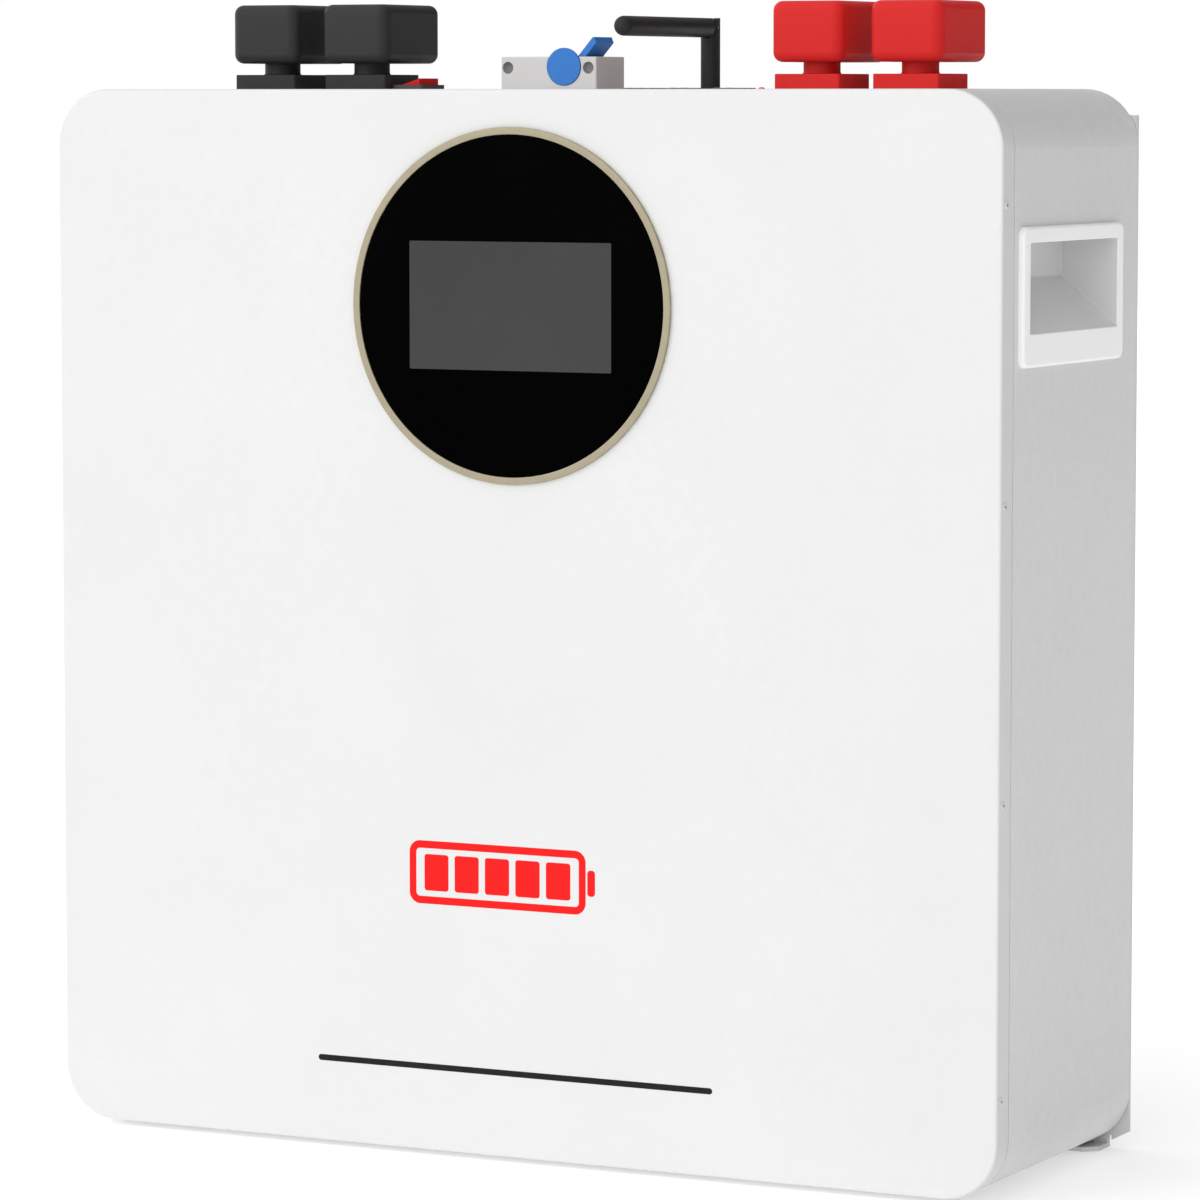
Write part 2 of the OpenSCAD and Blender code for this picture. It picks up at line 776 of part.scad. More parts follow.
module breaker_lever() color("royalblue") {
    far = paddle_in + paddle_t;
    translate([lever_x, 0, top + lever_h]) difference() {
        union() {
            rod_y_dir(disc_r, disc_back - disc_t, disc_back);
            rod_y_dir(barrel_r, disc_back - disc_t / 2, barrel_back);
            rotate([0, paddle_lean, 0]) profile_y([
                [paddle_in, 0.6], [paddle_in, paddle_reach - 0.6], [paddle_in + 0.5, paddle_reach],
                [far, paddle_reach - 1.2], [far, 0.6]
            ], paddle_front, paddle_back);
        }
        rod_y_dir(1.55, row_y - breaker_w / 2 + 2.2, barrel_back + 1);
    }
}

// Sheet cradle that hangs from the top sheet and carries the breaker
module breaker_bracket() color("silver") {
    leg = breaker_w / 2 + 0.2;
    t = 1.5;
    low = top - breaker_depth - 0.2;
    high = top - sheet_t;
    translate([0, row_y, 0]) profile_x([
        [-leg - t, low - t], [leg + t, low - t], [leg + t, high - t], [leg + t + 10, high - t],
        [leg + t + 10, high], [leg, high], [leg, low], [-leg, low], [-leg, high],
        [-leg - t - 10, high], [-leg - t - 10, high - t], [-leg - t, high - t]
    ], breaker_x - 20, breaker_x + 12);
}

// ---------- switch ----------

rocker_z = 0.4;
rocker_half = 5.3;
well_half = 6.4;
well_l = switch_l - 3.2;

module switch_body() color("dimgray") {
    translate([-switch_off, row_y, top]) difference() {
        union() {
            post_block(switch_w, switch_l, rim_h, 1);
            translate([0, 0, -20]) post_block(switch_w - 1, switch_l - 2, 21, 0.5);
        }
        translate([0, 0, -9]) post_block(2 * well_half, well_l, 9 + rim_h + 1, 0.5);
        translate([0, 0, rocker_z]) rod_y_dir(1.06, -well_l / 2 - 0.6, well_l / 2 + 0.6);
    }
}

module switch_rocker() color("red") {
    half_l = well_l / 2 - 0.3;
    translate([-switch_off, row_y, top + rocker_z]) {
        profile_y([
            [-rocker_half, -3], [rocker_half, -3], [rocker_half, 4.4], [-3.4, 1.6],
            [-rocker_half, 1.6]
        ], -half_l, half_l);
        rod_y_dir(1, -well_l / 2 - 0.5, well_l / 2 + 0.5);
    }
}

// ---------- ports ----------

port_w = 13.4;
port_l = 15.9;
port_depth = 13;
led_x = -4.9;
led_y = 5.6;

module at_port(x) translate([x, row_y, top]) children();

module led_block(grow) {
    for (s = [-1, 1]) translate([led_x, s * led_y, port_h - 3 - grow])
        post_block(2.2 + 2 * grow, 3 + 2 * grow, 3.1 + 2 * grow, 0.3);
}

module port_sockets() color("black") {
    for (x = ports_x) at_port(x) difference() {
        translate([0, 0, -port_depth]) post_block(port_w, port_l, port_depth + port_h, 0.4);
        translate([1.8, 0, -port_depth + 1.5]) post_block(7, 12, port_depth + 2, 0.3);
        led_block(0.05);
    }
}

module port_leds_white() color("white") at_port(ports_x[0]) led_block(0);

module port_leds_green() color("limegreen") {
    for (i = [1, 2]) at_port(ports_x[i]) led_block(0);
}

module fault_lamp() color("red") {
    translate([lamp_off, row_y, top - port_depth]) cylinder(r = 1.5, h = port_depth + 0.8);
}

module comm_board() color("darkgreen") {
    w = lamp_off - port_off + 20;
    translate([(lamp_off + port_off) / 2 + 2, row_y + 8, top - port_depth - board_t])
        post_block(w, 40, board_t, 2);
}

// ---------- antenna ----------

slot_half = antenna_r * 0.42;
tongue_half = slot_half - 0.2;
knuckle_gap = 0.3;
antenna_flange = 4;

module at_antenna() translate([antenna_off, antenna_y, top]) children();

module antenna_nut() color("goldenrod") {
    at_antenna() translate([0, 0, -sheet_t - antenna_flange])
        hex_nut(antenna_r + 4, antenna_r + 0.1, antenna_flange);
}

module antenna_post() color("dimgray") {
    at_antenna() difference() {
        union() {
            translate([0, 0, -10]) cylinder(r = antenna_r, h = 10 + elbow_h + antenna_r);
            translate([0, 0, -10]) cylinder(r = antenna_r + 2, h = 10 - sheet_t - antenna_flange - 0.3);
        }
        translate([-slot_half, -antenna_r - 1, elbow_h - antenna_r - 0.2])
            cube([2 * slot_half, 2 * antenna_r + 2, 3 * antenna_r]);
        translate([0, 0, elbow_h]) {
            rod_x_dir(1, -antenna_r - 1, antenna_r + 1);
            difference() {
                translate([-antenna_r - 1, -antenna_r - 1, 0])
                    cube([2 * antenna_r + 2, antenna_r + 1, antenna_r + 1]);
                rod_x_dir(antenna_r, -antenna_r - 2, antenna_r + 2);
            }
        }
    }
}

module antenna_pin() color("silver") {
    at_antenna() translate([0, 0, elbow_h]) rod_x_dir(1, -antenna_r + 0.5, antenna_r - 0.5);
}

module antenna_arm() color("dimgray") {
    at_antenna() translate([0, 0, elbow_h]) difference() {
        union() {
            rod_y_dir(antenna_r, -arm_l + antenna_r, -antenna_r - knuckle_gap);
            translate([0, -arm_l + antenna_r, 0]) sphere(r = antenna_r);
            rod_x_dir(antenna_r - knuckle_gap, -tongue_half, tongue_half);
            intersection() {
                rod_y_dir(antenna_r, -antenna_r - 2, 0);
                translate([-tongue_half, -2 * antenna_r, -antenna_r])
                    cube([2 * tongue_half, 2 * antenna_r, 2 * antenna_r]);
            }
        }
        rod_x_dir(1.05, -antenna_r, antenna_r);
    }
}

// ---------- cell pack ----------

function cell_x(i) = -pack_w / 2 + cell_t / 2 + i * (cell_t + spacer_t);

// One aluminium can with its two posts
module cell(i) {
    translate([cell_x(i), pack_y, pack_low]) {
        post_block(cell_t, cell_w, cell_h, 2);
        for (s = [-1, 1]) translate([0, s * post_y, cell_h - 1]) cylinder(r = 7, h = post_h + 1);
    }
}

module cell_1() color("steelblue") cell(0);
module cell_2() color("steelblue") cell(1);
module cell_3() color("steelblue") cell(2);
module cell_4() color("steelblue") cell(3);
module cell_5() color("steelblue") cell(4);
module cell_6() color("steelblue") cell(5);
module cell_7() color("steelblue") cell(6);
module cell_8() color("steelblue") cell(7);

module cell_spacers() color("khaki") {
    for (i = [0:cell_count - 2])
        translate([cell_x(i) + cell_t / 2, pack_y - cell_w / 2 + 2, pack_low])
            cube([spacer_t, cell_w - 4, cell_h - 2]);
}

module end_plates() color("silver") {
    for (s = [-1, 1]) difference() {
        translate([s * (pack_w + end_plate_t) / 2, pack_y, pack_low])
            post_block(end_plate_t, tray_d, cell_h - 4, 1);
        for (sy = [-1, 1], z = rod_z) translate([0, pack_y + sy * rod_y, pack_low + z])
            rod_x_dir(rod_r + rod_play, -side, side);
    }
}

module tie_rods() color("gray") {
    half = pack_w / 2 + end_plate_t + 8;
    for (sy = [-1, 1], z = rod_z) translate([0, pack_y + sy * rod_y, pack_low + z])
        rod_x_dir(rod_r, -half, half);
}

module tie_rod_nuts() color("silver") {
    for (s = [-1, 1], sy = [-1, 1], z = rod_z)
        translate([s * (pack_w + rod_nut_t) / 2 + s * end_plate_t, pack_y + sy * rod_y, pack_low + z])
            rotate([0, 90, 0]) translate([0, 0, -rod_nut_t / 2])
                hex_nut(rod_nut_r, rod_r + stud_play, rod_nut_t);
}

// Aluminium links that join the cells in series, front and back in turn
module cell_links() color("silver") {
    for (i = [0:cell_count - 2]) {
        s = i % 2 == 0 ? 1 : -1;
        translate([(cell_x(i) + cell_x(i + 1)) / 2, pack_y + s * post_y, pack_low + cell_h + post_h])
            post_block(cell_t + spacer_t + 16, 20, link_t, 3);
    }
}

// Board under the cells: it lies on the lip in front and reaches down to the sheet behind it
module cell_tray() color("khaki") {
    w = pack_w + 2 * end_plate_t + 20;
    back = pack_y + tray_d / 2;
    step = y_seam + lip_weld + cut_play;
    translate([0, pack_y, pack_low - tray_t]) post_block(w, tray_d, tray_t, 2);
    translate([-w / 2, step, -top + sheet_t]) cube([w, back - 2 - step, lip_inside - sheet_t + 1]);
}

// ---------- battery management ----------

module bms_heatsink() color("silver") {
    translate([0, 0, heatsink_z])
        slab(heatsink_w, heatsink_h, 3, y_inside_back - heatsink_t, y_inside_back);
}

module bms_board() color("darkgreen") {
    y = y_inside_back - heatsink_t - bms_gap;
    translate([0, 0, heatsink_z]) {
        slab(heatsink_w - 14, heatsink_h - 8, 3, y - board_t, y);
        for (sx = [-1, 1], sz = [-1, 1])
            translate([sx * (heatsink_w / 2 - 14), 0, sz * (heatsink_h / 2 - 11)])
                rod_y_dir(3, y - board_t - 2, y + bms_gap);
        for (i = [-5:5]) translate([i * 18, 0, -heatsink_h / 2 + 16])
            slab(10, 15, 0.5, y - board_t / 2, y + bms_gap - 0.2);
        for (i = [-2:2]) translate([i * 36, 0, 14]) rod_y_dir(6, y - board_t - 14, y - board_t / 2);
    }
}

// Thick leads between the cells, the management board, the breaker and the pole bars
module main_cables() color("orangered") {
    board_y = y_inside_back - heatsink_t - bms_gap - board_t;
    bar_z = top - spigot_depth - collar_t - bar_t - cable_end;
    post_z = pack_low + cell_h + post_h + cable_end;
    breaker_low = top - breaker_depth - 0.2 - 1.5 - cable_end;
    bms_x = -heatsink_w / 2 + 30;
    lead_x = breaker_x + breaker_l / 2 - 8;
    first = cell_x(0);
    last = cell_x(cell_count - 1);
    cable([
        [last, pack_y - post_y, post_z], [last, pack_y - post_y, post_z + 30],
        [lead_x, row_y, breaker_low - 40], [lead_x, row_y, breaker_low]
    ], cable_r);
    cable([
        [first, pack_y - post_y, post_z], [first, pack_y - post_y, post_z + 30],
        [bms_x, board_y - 24, heatsink_z - 20], [bms_x, board_y - cable_end, heatsink_z - 20]
    ], cable_r);
    cable([
        [bms_x, board_y - cable_end, heatsink_z + 26], [bms_x, board_y - 30, heatsink_z + 26],
        [terminal_x[1] - 22, row_y, bar_z - 40], [terminal_x[1] - 22, row_y, bar_z]
    ], cable_r);
    cable([
        [breaker_x + breaker_l / 2 + cable_end, row_y, top - 32],
        [terminal_x[2] + 8, row_y, top - 36],
        [terminal_x[2] + 22, row_y, bar_z - 12], [terminal_x[2] + 22, row_y, bar_z]
    ], cable_r);
}

wall_plate();
hanger_hooks();
case_tub();
front_cover();
cover_screws();
display_ring();
display_glass();
lcd_module();
display_board();
display_standoffs();
handle_left();
handle_right();
negative_terminal_bases();
positive_terminal_bases();
terminal_studs();
contact_washers();
spring_washers();
terminal_nuts();
base_screws();
inner_insulators();
inner_nuts();
negative_busbar();
positive_busbar();
cap_negative_outer();
cap_negative_inner();
cap_positive_inner();
cap_positive_outer();
breaker_body();
breaker_pivot_pin();
breaker_rivets();
breaker_lever();
breaker_bracket();
switch_body();
switch_rocker();
port_sockets();
port_leds_white();
port_leds_green();
fault_lamp();
comm_board();
antenna_nut();
antenna_post();
antenna_pin();
antenna_arm();
cell_1();
cell_2();
cell_3();
cell_4();
cell_5();
cell_6();
cell_7();
cell_8();
cell_spacers();
end_plates();
tie_rods();
tie_rod_nuts();
cell_links();
cell_tray();
bms_heatsink();
bms_board();
main_cables();
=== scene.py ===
import json
import math

import bmesh
import bpy
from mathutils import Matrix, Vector


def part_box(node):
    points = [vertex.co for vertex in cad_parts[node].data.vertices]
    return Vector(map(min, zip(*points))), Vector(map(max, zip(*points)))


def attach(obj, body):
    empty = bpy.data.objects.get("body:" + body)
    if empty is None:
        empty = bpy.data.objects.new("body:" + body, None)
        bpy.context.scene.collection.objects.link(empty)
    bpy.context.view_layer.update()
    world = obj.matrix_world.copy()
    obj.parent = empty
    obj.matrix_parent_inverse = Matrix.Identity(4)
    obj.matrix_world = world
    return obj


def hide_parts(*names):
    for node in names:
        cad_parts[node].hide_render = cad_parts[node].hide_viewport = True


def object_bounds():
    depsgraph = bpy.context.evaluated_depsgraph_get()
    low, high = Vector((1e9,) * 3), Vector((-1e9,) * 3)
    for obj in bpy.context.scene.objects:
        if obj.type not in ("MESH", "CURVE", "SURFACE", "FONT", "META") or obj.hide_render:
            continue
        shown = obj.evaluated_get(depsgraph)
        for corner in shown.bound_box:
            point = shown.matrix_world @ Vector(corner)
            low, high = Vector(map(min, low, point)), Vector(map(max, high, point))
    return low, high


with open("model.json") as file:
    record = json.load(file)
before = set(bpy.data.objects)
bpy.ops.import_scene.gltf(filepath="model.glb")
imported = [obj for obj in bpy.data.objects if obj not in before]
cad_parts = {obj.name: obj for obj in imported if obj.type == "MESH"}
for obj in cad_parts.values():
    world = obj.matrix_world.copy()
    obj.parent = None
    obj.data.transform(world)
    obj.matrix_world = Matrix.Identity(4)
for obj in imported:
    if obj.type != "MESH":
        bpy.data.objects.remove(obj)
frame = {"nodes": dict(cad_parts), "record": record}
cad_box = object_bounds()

MM = 0.001

# ---------------------------------------------------------------- places from the frame


def middle(node):
    """Middle of a node's box at rest."""
    low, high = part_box(node)
    return (low + high) / 2


cover_low, cover_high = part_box("front_cover")
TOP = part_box("case_tub")[1].z
SIDE = cover_high.x
FRONT = cover_low.y
SKIRT_BACK = cover_high.y
CORNER = 24 * MM
SHEET = 1.2 * MM
HAIR = 0.01 * MM                # smallest step that keeps two faces apart
ROW_Y = middle("terminal_studs").y
PORTS_X = (25 * MM, 46 * MM, 67 * MM)
DISPLAY = middle("display_ring")
CAPS = {
    "cap_negative_outer": "cap_black",
    "cap_negative_inner": "cap_black",
    "cap_positive_inner": "cap_red",
    "cap_positive_outer": "cap_red",
}
TERMINALS = [middle(cap).x for cap in CAPS]
BASE_TOP = TOP + 6.3 * MM
NECK = 7.8 * MM                 # radius of the round neck on each base
STUD = 4 * MM
STUD_BORE = 4.05 * MM
SCREW_HEAD = 2.2 * MM
SCREW_SEAT = 2.35 * MM
SCREW_SINK = 1.6 * MM

# ---------------------------------------------------------------- outlines


def rounded(width, height, radius, inset=0.0, arc=8):
    """Rectangle with four round corners, as points round its middle."""
    half_w, half_h = width / 2 - inset, height / 2 - inset
    radius = max(radius - inset, 0.02 * MM)
    points = []
    for quarter, (sx, sy) in enumerate(((1, 1), (-1, 1), (-1, -1), (1, -1))):
        for step in range(arc + 1):
            turn = math.radians(90 * quarter + 90 * step / arc)
            points.append((
                sx * (half_w - radius) + radius * math.cos(turn),
                sy * (half_h - radius) + radius * math.sin(turn),
            ))
    return points


def circle(radius, count=64):
    """Points round a circle."""
    turns = [2 * math.pi * i / count for i in range(count)]
    return [(radius * math.cos(t), radius * math.sin(t)) for t in turns]


def cross_outline(half_width, reach):
    """Plus-shaped outline of a cross recess, with points in the order of their angle."""
    points = []
    for quarter in range(4):
        turn = math.radians(90 * quarter)
        for u, v in ((reach, -half_width), (reach, 0), (reach, half_width), (half_width, half_width)):
            points.append((
                u * math.cos(turn) - v * math.sin(turn),
                u * math.sin(turn) + v * math.cos(turn),
            ))
    return points


def at_angles(points, radius):
    """Circle whose points lie in the same directions as the given ones."""
    return [(radius * u / math.hypot(u, v), radius * v / math.hypot(u, v)) for u, v in points]


def hexagon(across_flats, limit, count=48):
    """Hexagon whose corners are cut back to a circle, as a nut's chamfer cuts them."""
    apothem = across_flats / 2
    points = []
    for i in range(count):
        turn = 2 * math.pi * i / count
        off = (turn + math.pi / 6) % (math.pi / 3) - math.pi / 6
        reach = min(apothem / math.cos(math.pi / 6 - abs(off)), limit)
        points.append((reach * math.cos(turn), reach * math.sin(turn)))
    return points


def along_x(outline, x, y=0.0, z=0.0):
    """Outline stood across the X axis; the next two do the same for Y and Z."""
    return [Vector((x, y + u, z + v)) for u, v in outline]


def along_y(outline, y, x=0.0, z=0.0):
    return [Vector((x + u, y, z + v)) for u, v in outline]


def along_z(outline, z, x=0.0, y=0.0):
    return [Vector((x + u, y + v, z)) for u, v in outline]


# ---------------------------------------------------------------- meshes


def loft(bm, rings, close=False, start=True, end=True):
    """Skin over rings with equal counts; close joins the last ring to the first."""
    rows = [[bm.verts.new(point) for point in ring] for ring in rings]
    pairs = list(zip(rows, rows[1:]))
    if close:
        pairs.append((rows[-1], rows[0]))
    for a, b in pairs:
        for i in range(len(a)):
            j = (i + 1) % len(a)
            bm.faces.new((a[i], a[j], b[j], b[i]))
    if start and not close:
        bm.faces.new(list(reversed(rows[0])))
    if end and not close:
        bm.faces.new(rows[-1])
    return rows


def edges_between(row):
    """Edges of a closed loop of vertices, in its order."""
    return [next(edge for edge in a.link_edges if edge.other_vert(a) == b)
            for a, b in zip(row, row[1:] + row[:1])]


def bridge(bm, row_a, row_b):
    """Flat skin between two loops with different counts."""
    bmesh.ops.bridge_loops(bm, edges=edges_between(row_a) + edges_between(row_b))


def easing(radius, steps=5):
    """Quarter-round as (inset, depth) pairs, from the side face to the front face."""
    pairs = []
    for step in range(steps + 1):
        turn = math.radians(90 * step / steps)
        pairs.append((radius * (1 - math.cos(turn)), radius * (1 - math.sin(turn))))
    return pairs


def piece(name, bm, body, material, nodes=(), smooth=32, weighted=True):
    """Turns a bmesh into a finished object that rides on a body."""
    bmesh.ops.recalc_face_normals(bm, faces=bm.faces)
    mesh = bpy.data.meshes.new(name)
    bm.to_mesh(mesh)
    bm.free()
    for one in material if isinstance(material, (list, tuple)) else [material]:
        mesh.materials.append(one)
    obj = bpy.data.objects.new(name, mesh)
    bpy.context.scene.collection.objects.link(obj)
    for polygon in mesh.polygons:
        polygon.use_smooth = True
    mesh.set_sharp_from_angle(angle=math.radians(smooth))
    if weighted:
        shading = obj.modifiers.new("even_shading", "WEIGHTED_NORMAL")
        shading.keep_sharp = True
    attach(obj, body)
    if nodes:
        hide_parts(*nodes)
    return obj


def round_edges(bm, edges, width, segments=2, clamp=True):
    """Rounds edges by a width; clamp stops where two rounded edges would meet."""
    bmesh.ops.bevel(bm, geom=edges, offset=width, offset_type="OFFSET", segments=segments,
                    profile=0.5, affect="EDGES", clamp_overlap=clamp)


def crown_edges(bm, reach=0.7 * MM):
    """Edges round the outside of the highest flat face."""
    top = max(vert.co.z for vert in bm.verts) - HAIR
    crown = [vert.co for vert in bm.verts if vert.co.z > top]
    low = [min(co[axis] for co in crown) for axis in (0, 1)]
    high = [max(co[axis] for co in crown) for axis in (0, 1)]
    found = []
    for edge in bm.edges:
        if not edge.is_manifold or min(vert.co.z for vert in edge.verts) < top:
            continue
        level = [face for face in edge.link_faces if face.normal.z > 0.95]
        side = [face for face in edge.link_faces if abs(face.normal.z) < 0.05]
        if not level or not side:
            continue
        spot = (edge.verts[0].co + edge.verts[1].co) / 2
        for axis in (0, 1):
            out = side[0].normal[axis]
            limit = high[axis] if out > 0 else low[axis]
            if abs(out) > 0.4 and abs(spot[axis] - limit) < reach:
                found.append(edge)
                break
    return found


def eased_copy(node, width, body, material, angle=30, crown=0.0):
    """The CAD node's own shape with its sharp edges rounded, those round its top by crown."""
    bm = bmesh.new()
    bm.from_mesh(frame["nodes"][node].data)
    bmesh.ops.remove_doubles(bm, verts=bm.verts, dist=2e-6)
    bmesh.ops.dissolve_limit(bm, angle_limit=math.radians(0.6), verts=bm.verts, edges=bm.edges)
    bm.normal_update()
    if crown:
        round_edges(bm, crown_edges(bm), crown, 4, clamp=False)
        bm.normal_update()
    sharp = [e for e in bm.edges if e.is_manifold and e.calc_face_angle(0) > math.radians(angle)]
    round_edges(bm, sharp, width)
    return piece(node + "_shell", bm, body, material, [node])


def cut(obj, rings):
    """Takes the skin over some rings out of an object."""
    bm = bmesh.new()
    loft(bm, rings)
    bmesh.ops.recalc_face_normals(bm, faces=bm.faces)
    mesh = bpy.data.meshes.new("cutter")
    bm.to_mesh(mesh)
    bm.free()
    cutter = bpy.data.objects.new("cutter", mesh)
    bpy.context.scene.collection.objects.link(cutter)
    boolean = obj.modifiers.new("cut", "BOOLEAN")
    boolean.object = cutter
    boolean.operation = "DIFFERENCE"
    boolean.solver = "EXACT"
    bpy.context.view_layer.update()
    graph = bpy.context.evaluated_depsgraph_get()
    result = bpy.data.meshes.new_from_object(obj.evaluated_get(graph))
    obj.modifiers.remove(boolean)
    bpy.data.objects.remove(cutter)
    out = bmesh.new()
    out.from_mesh(result)
    bpy.data.meshes.remove(result)
    return out


# ---------------------------------------------------------------- shader groups


def new_group(name, inputs, outputs):
    """Empty shader group with named inputs and outputs."""
    tree = bpy.data.node_groups.new(name, "ShaderNodeTree")
    for label, kind, value in inputs:
        socket = tree.interface.new_socket(label, in_out="INPUT", socket_type=kind)
        if value is not None:
            socket.default_value = value
    for label, kind in outputs:
        tree.interface.new_socket(label, in_out="OUTPUT", socket_type=kind)
    return tree, tree.nodes.new("NodeGroupInput"), tree.nodes.new("NodeGroupOutput")


def add(tree, kind, **values):
    """New node; values name its settings or, failing that, its inputs."""
    node = tree.nodes.new(kind)
    for key, value in values.items():
        if hasattr(node, key):
            setattr(node, key, value)
        else:
            node.inputs[key.replace("_", " ")].default_value = value
    return node


def math_node(tree, operation, a, b):
    """Sum, product or other operation on two values or sockets."""
    node = tree.nodes.new("ShaderNodeMath")
    node.operation = operation
    for socket, value in zip(node.inputs, (a, b)):
        if isinstance(value, (int, float)):
            socket.default_value = value
        else:
            tree.links.new(value, socket)
    return node.outputs[0]


def noise(tree, place, scale, detail=3.0, roughness=0.5):
    """Noise at a scale per metre, from a value or a socket."""
    node = add(tree, "ShaderNodeTexNoise", Detail=detail, Roughness=roughness)
    tree.links.new(place, node.inputs["Vector"])
    if isinstance(scale, (int, float)):
        node.inputs["Scale"].default_value = scale
    else:
        tree.links.new(scale, node.inputs["Scale"])
    return node.outputs["Fac"]


def spread(tree, value, low, high, to_low=0.0, to_high=1.0):
    """Value carried from one range to another."""
    node = tree.nodes.new("ShaderNodeMapRange")
    node.inputs["From Min"].default_value = low
    node.inputs["From Max"].default_value = high
    node.inputs["To Min"].default_value = to_low
    node.inputs["To Max"].default_value = to_high
    tree.links.new(value, node.inputs["Value"])
    return node.outputs[0]


FLOAT, COLOUR, VECTOR = "NodeSocketFloat", "NodeSocketColor", "NodeSocketVector"


def grain_group():
    """Fine surface grain with a slow drift of tone and gloss."""
    tree, inside, outside = new_group(
        "surface_grain",
        [("Tone", COLOUR, (0.5, 0.5, 0.5, 1)), ("Grains per metre", FLOAT, 1500.0),
         ("Drift", FLOAT, 0.05), ("Gloss", FLOAT, 0.5), ("Gloss change", FLOAT, 0.1)],
        [("Colour", COLOUR), ("Roughness", FLOAT), ("Height", FLOAT)])
    place = tree.nodes.new("ShaderNodeTexCoord").outputs["Object"]
    fine = noise(tree, place, inside.outputs["Grains per metre"], 2.0, 0.45)
    broad = noise(tree, place, 14.0, 4.0, 0.55)
    smear = noise(tree, place, 55.0, 5.0, 0.6)
    tone = math_node(tree, "MULTIPLY", spread(tree, broad, 0.3, 0.7, -1, 1), inside.outputs["Drift"])
    speck = math_node(tree, "MULTIPLY", spread(tree, fine, 0.3, 0.7, -1, 1),
                      math_node(tree, "MULTIPLY", inside.outputs["Drift"], 0.35))
    level = math_node(tree, "ADD", math_node(tree, "ADD", tone, speck), 1.0)
    shade = tree.nodes.new("ShaderNodeVectorMath")
    shade.operation = "SCALE"
    tree.links.new(inside.outputs["Tone"], shade.inputs[0])
    tree.links.new(level, shade.inputs["Scale"])
    gloss = math_node(tree, "ADD", inside.outputs["Gloss"],
                      math_node(tree, "MULTIPLY", spread(tree, smear, 0.3, 0.7, -1, 1),
                                inside.outputs["Gloss change"]))
    tree.links.new(shade.outputs[0], outside.inputs["Colour"])
    tree.links.new(gloss, outside.inputs["Roughness"])
    tree.links.new(fine, outside.inputs["Height"])
    return tree


def brushed_group():
    """Long fine scratches along one direction."""
    tree, inside, outside = new_group(
        "brush_lines",
        [("Stretch", VECTOR, (1, 1, 1)), ("Lines per metre", FLOAT, 2500.0)],
        [("Height", FLOAT), ("Streak", FLOAT)])
    place = tree.nodes.new("ShaderNodeTexCoord").outputs["Object"]
    stretch = tree.nodes.new("ShaderNodeVectorMath")
    stretch.operation = "MULTIPLY"
    tree.links.new(place, stretch.inputs[0])
    tree.links.new(inside.outputs["Stretch"], stretch.inputs[1])
    lines = noise(tree, stretch.outputs[0], inside.outputs["Lines per metre"], 3.0, 0.65)
    tree.links.new(lines, outside.inputs["Height"])
    tree.links.new(spread(tree, lines, 0.3, 0.7, -1, 1), outside.inputs["Streak"])
    return tree


def edge_group():
    """Mask of rubbed outer edges, broken up by noise."""
    tree, inside, outside = new_group(
        "rubbed_edges", [("Amount", FLOAT, 0.3), ("Start", FLOAT, 0.53)], [("Mask", FLOAT)])
    shape = tree.nodes.new("ShaderNodeNewGeometry")
    place = tree.nodes.new("ShaderNodeTexCoord").outputs["Object"]
    sharp = math_node(tree, "MULTIPLY",
                      math_node(tree, "MAXIMUM",
                                math_node(tree, "SUBTRACT", shape.outputs["Pointiness"],
                                          inside.outputs["Start"]), 0.0), 9.0)
    broken = spread(tree, noise(tree, place, 180.0, 4.0, 0.6), 0.42, 0.62)
    mask = math_node(tree, "MULTIPLY", math_node(tree, "MINIMUM", sharp, 1.0), broken)
    amount = math_node(tree, "MULTIPLY", mask, inside.outputs["Amount"])
    tree.links.new(amount, outside.inputs["Mask"])
    return tree


def dust_group():
    """Mask of light dust that settles on upward faces."""
    tree, inside, outside = new_group("settled_dust", [("Amount", FLOAT, 0.1)], [("Mask", FLOAT)])
    shape = tree.nodes.new("ShaderNodeNewGeometry")
    split = tree.nodes.new("ShaderNodeSeparateXYZ")
    tree.links.new(shape.outputs["Normal"], split.inputs[0])
    upward = spread(tree, split.outputs["Z"], 0.5, 1.0)
    place = tree.nodes.new("ShaderNodeTexCoord").outputs["Object"]
    patches = spread(tree, noise(tree, place, 70.0, 6.0, 0.65), 0.35, 0.7)
    mask = math_node(tree, "MULTIPLY", upward, patches)
    amount = math_node(tree, "MULTIPLY", mask, inside.outputs["Amount"])
    tree.links.new(amount, outside.inputs["Mask"])
    return tree


GRAIN, BRUSHED, EDGES, DUST = grain_group(), brushed_group(), edge_group(), dust_group()

# ---------------------------------------------------------------- materials


def placed(tree, group, **values):
    """A shared group set into a material with its own values."""
    node = tree.nodes.new("ShaderNodeGroup")
    node.node_tree = group
    for key, value in values.items():
        node.inputs[key.replace("_", " ")].default_value = value
    return node


def blend_colour(tree, mask, under, over):
    """The colour over shows where mask is 1."""
    node = tree.nodes.new("ShaderNodeMix")
    node.data_type = "RGBA"
    first, second = [socket for socket in node.inputs if socket.type == "RGBA"]
    tree.links.new(mask, node.inputs["Factor"])
    tree.links.new(under, first)
    second.default_value = over
    return next(socket for socket in node.outputs if socket.type == "RGBA")


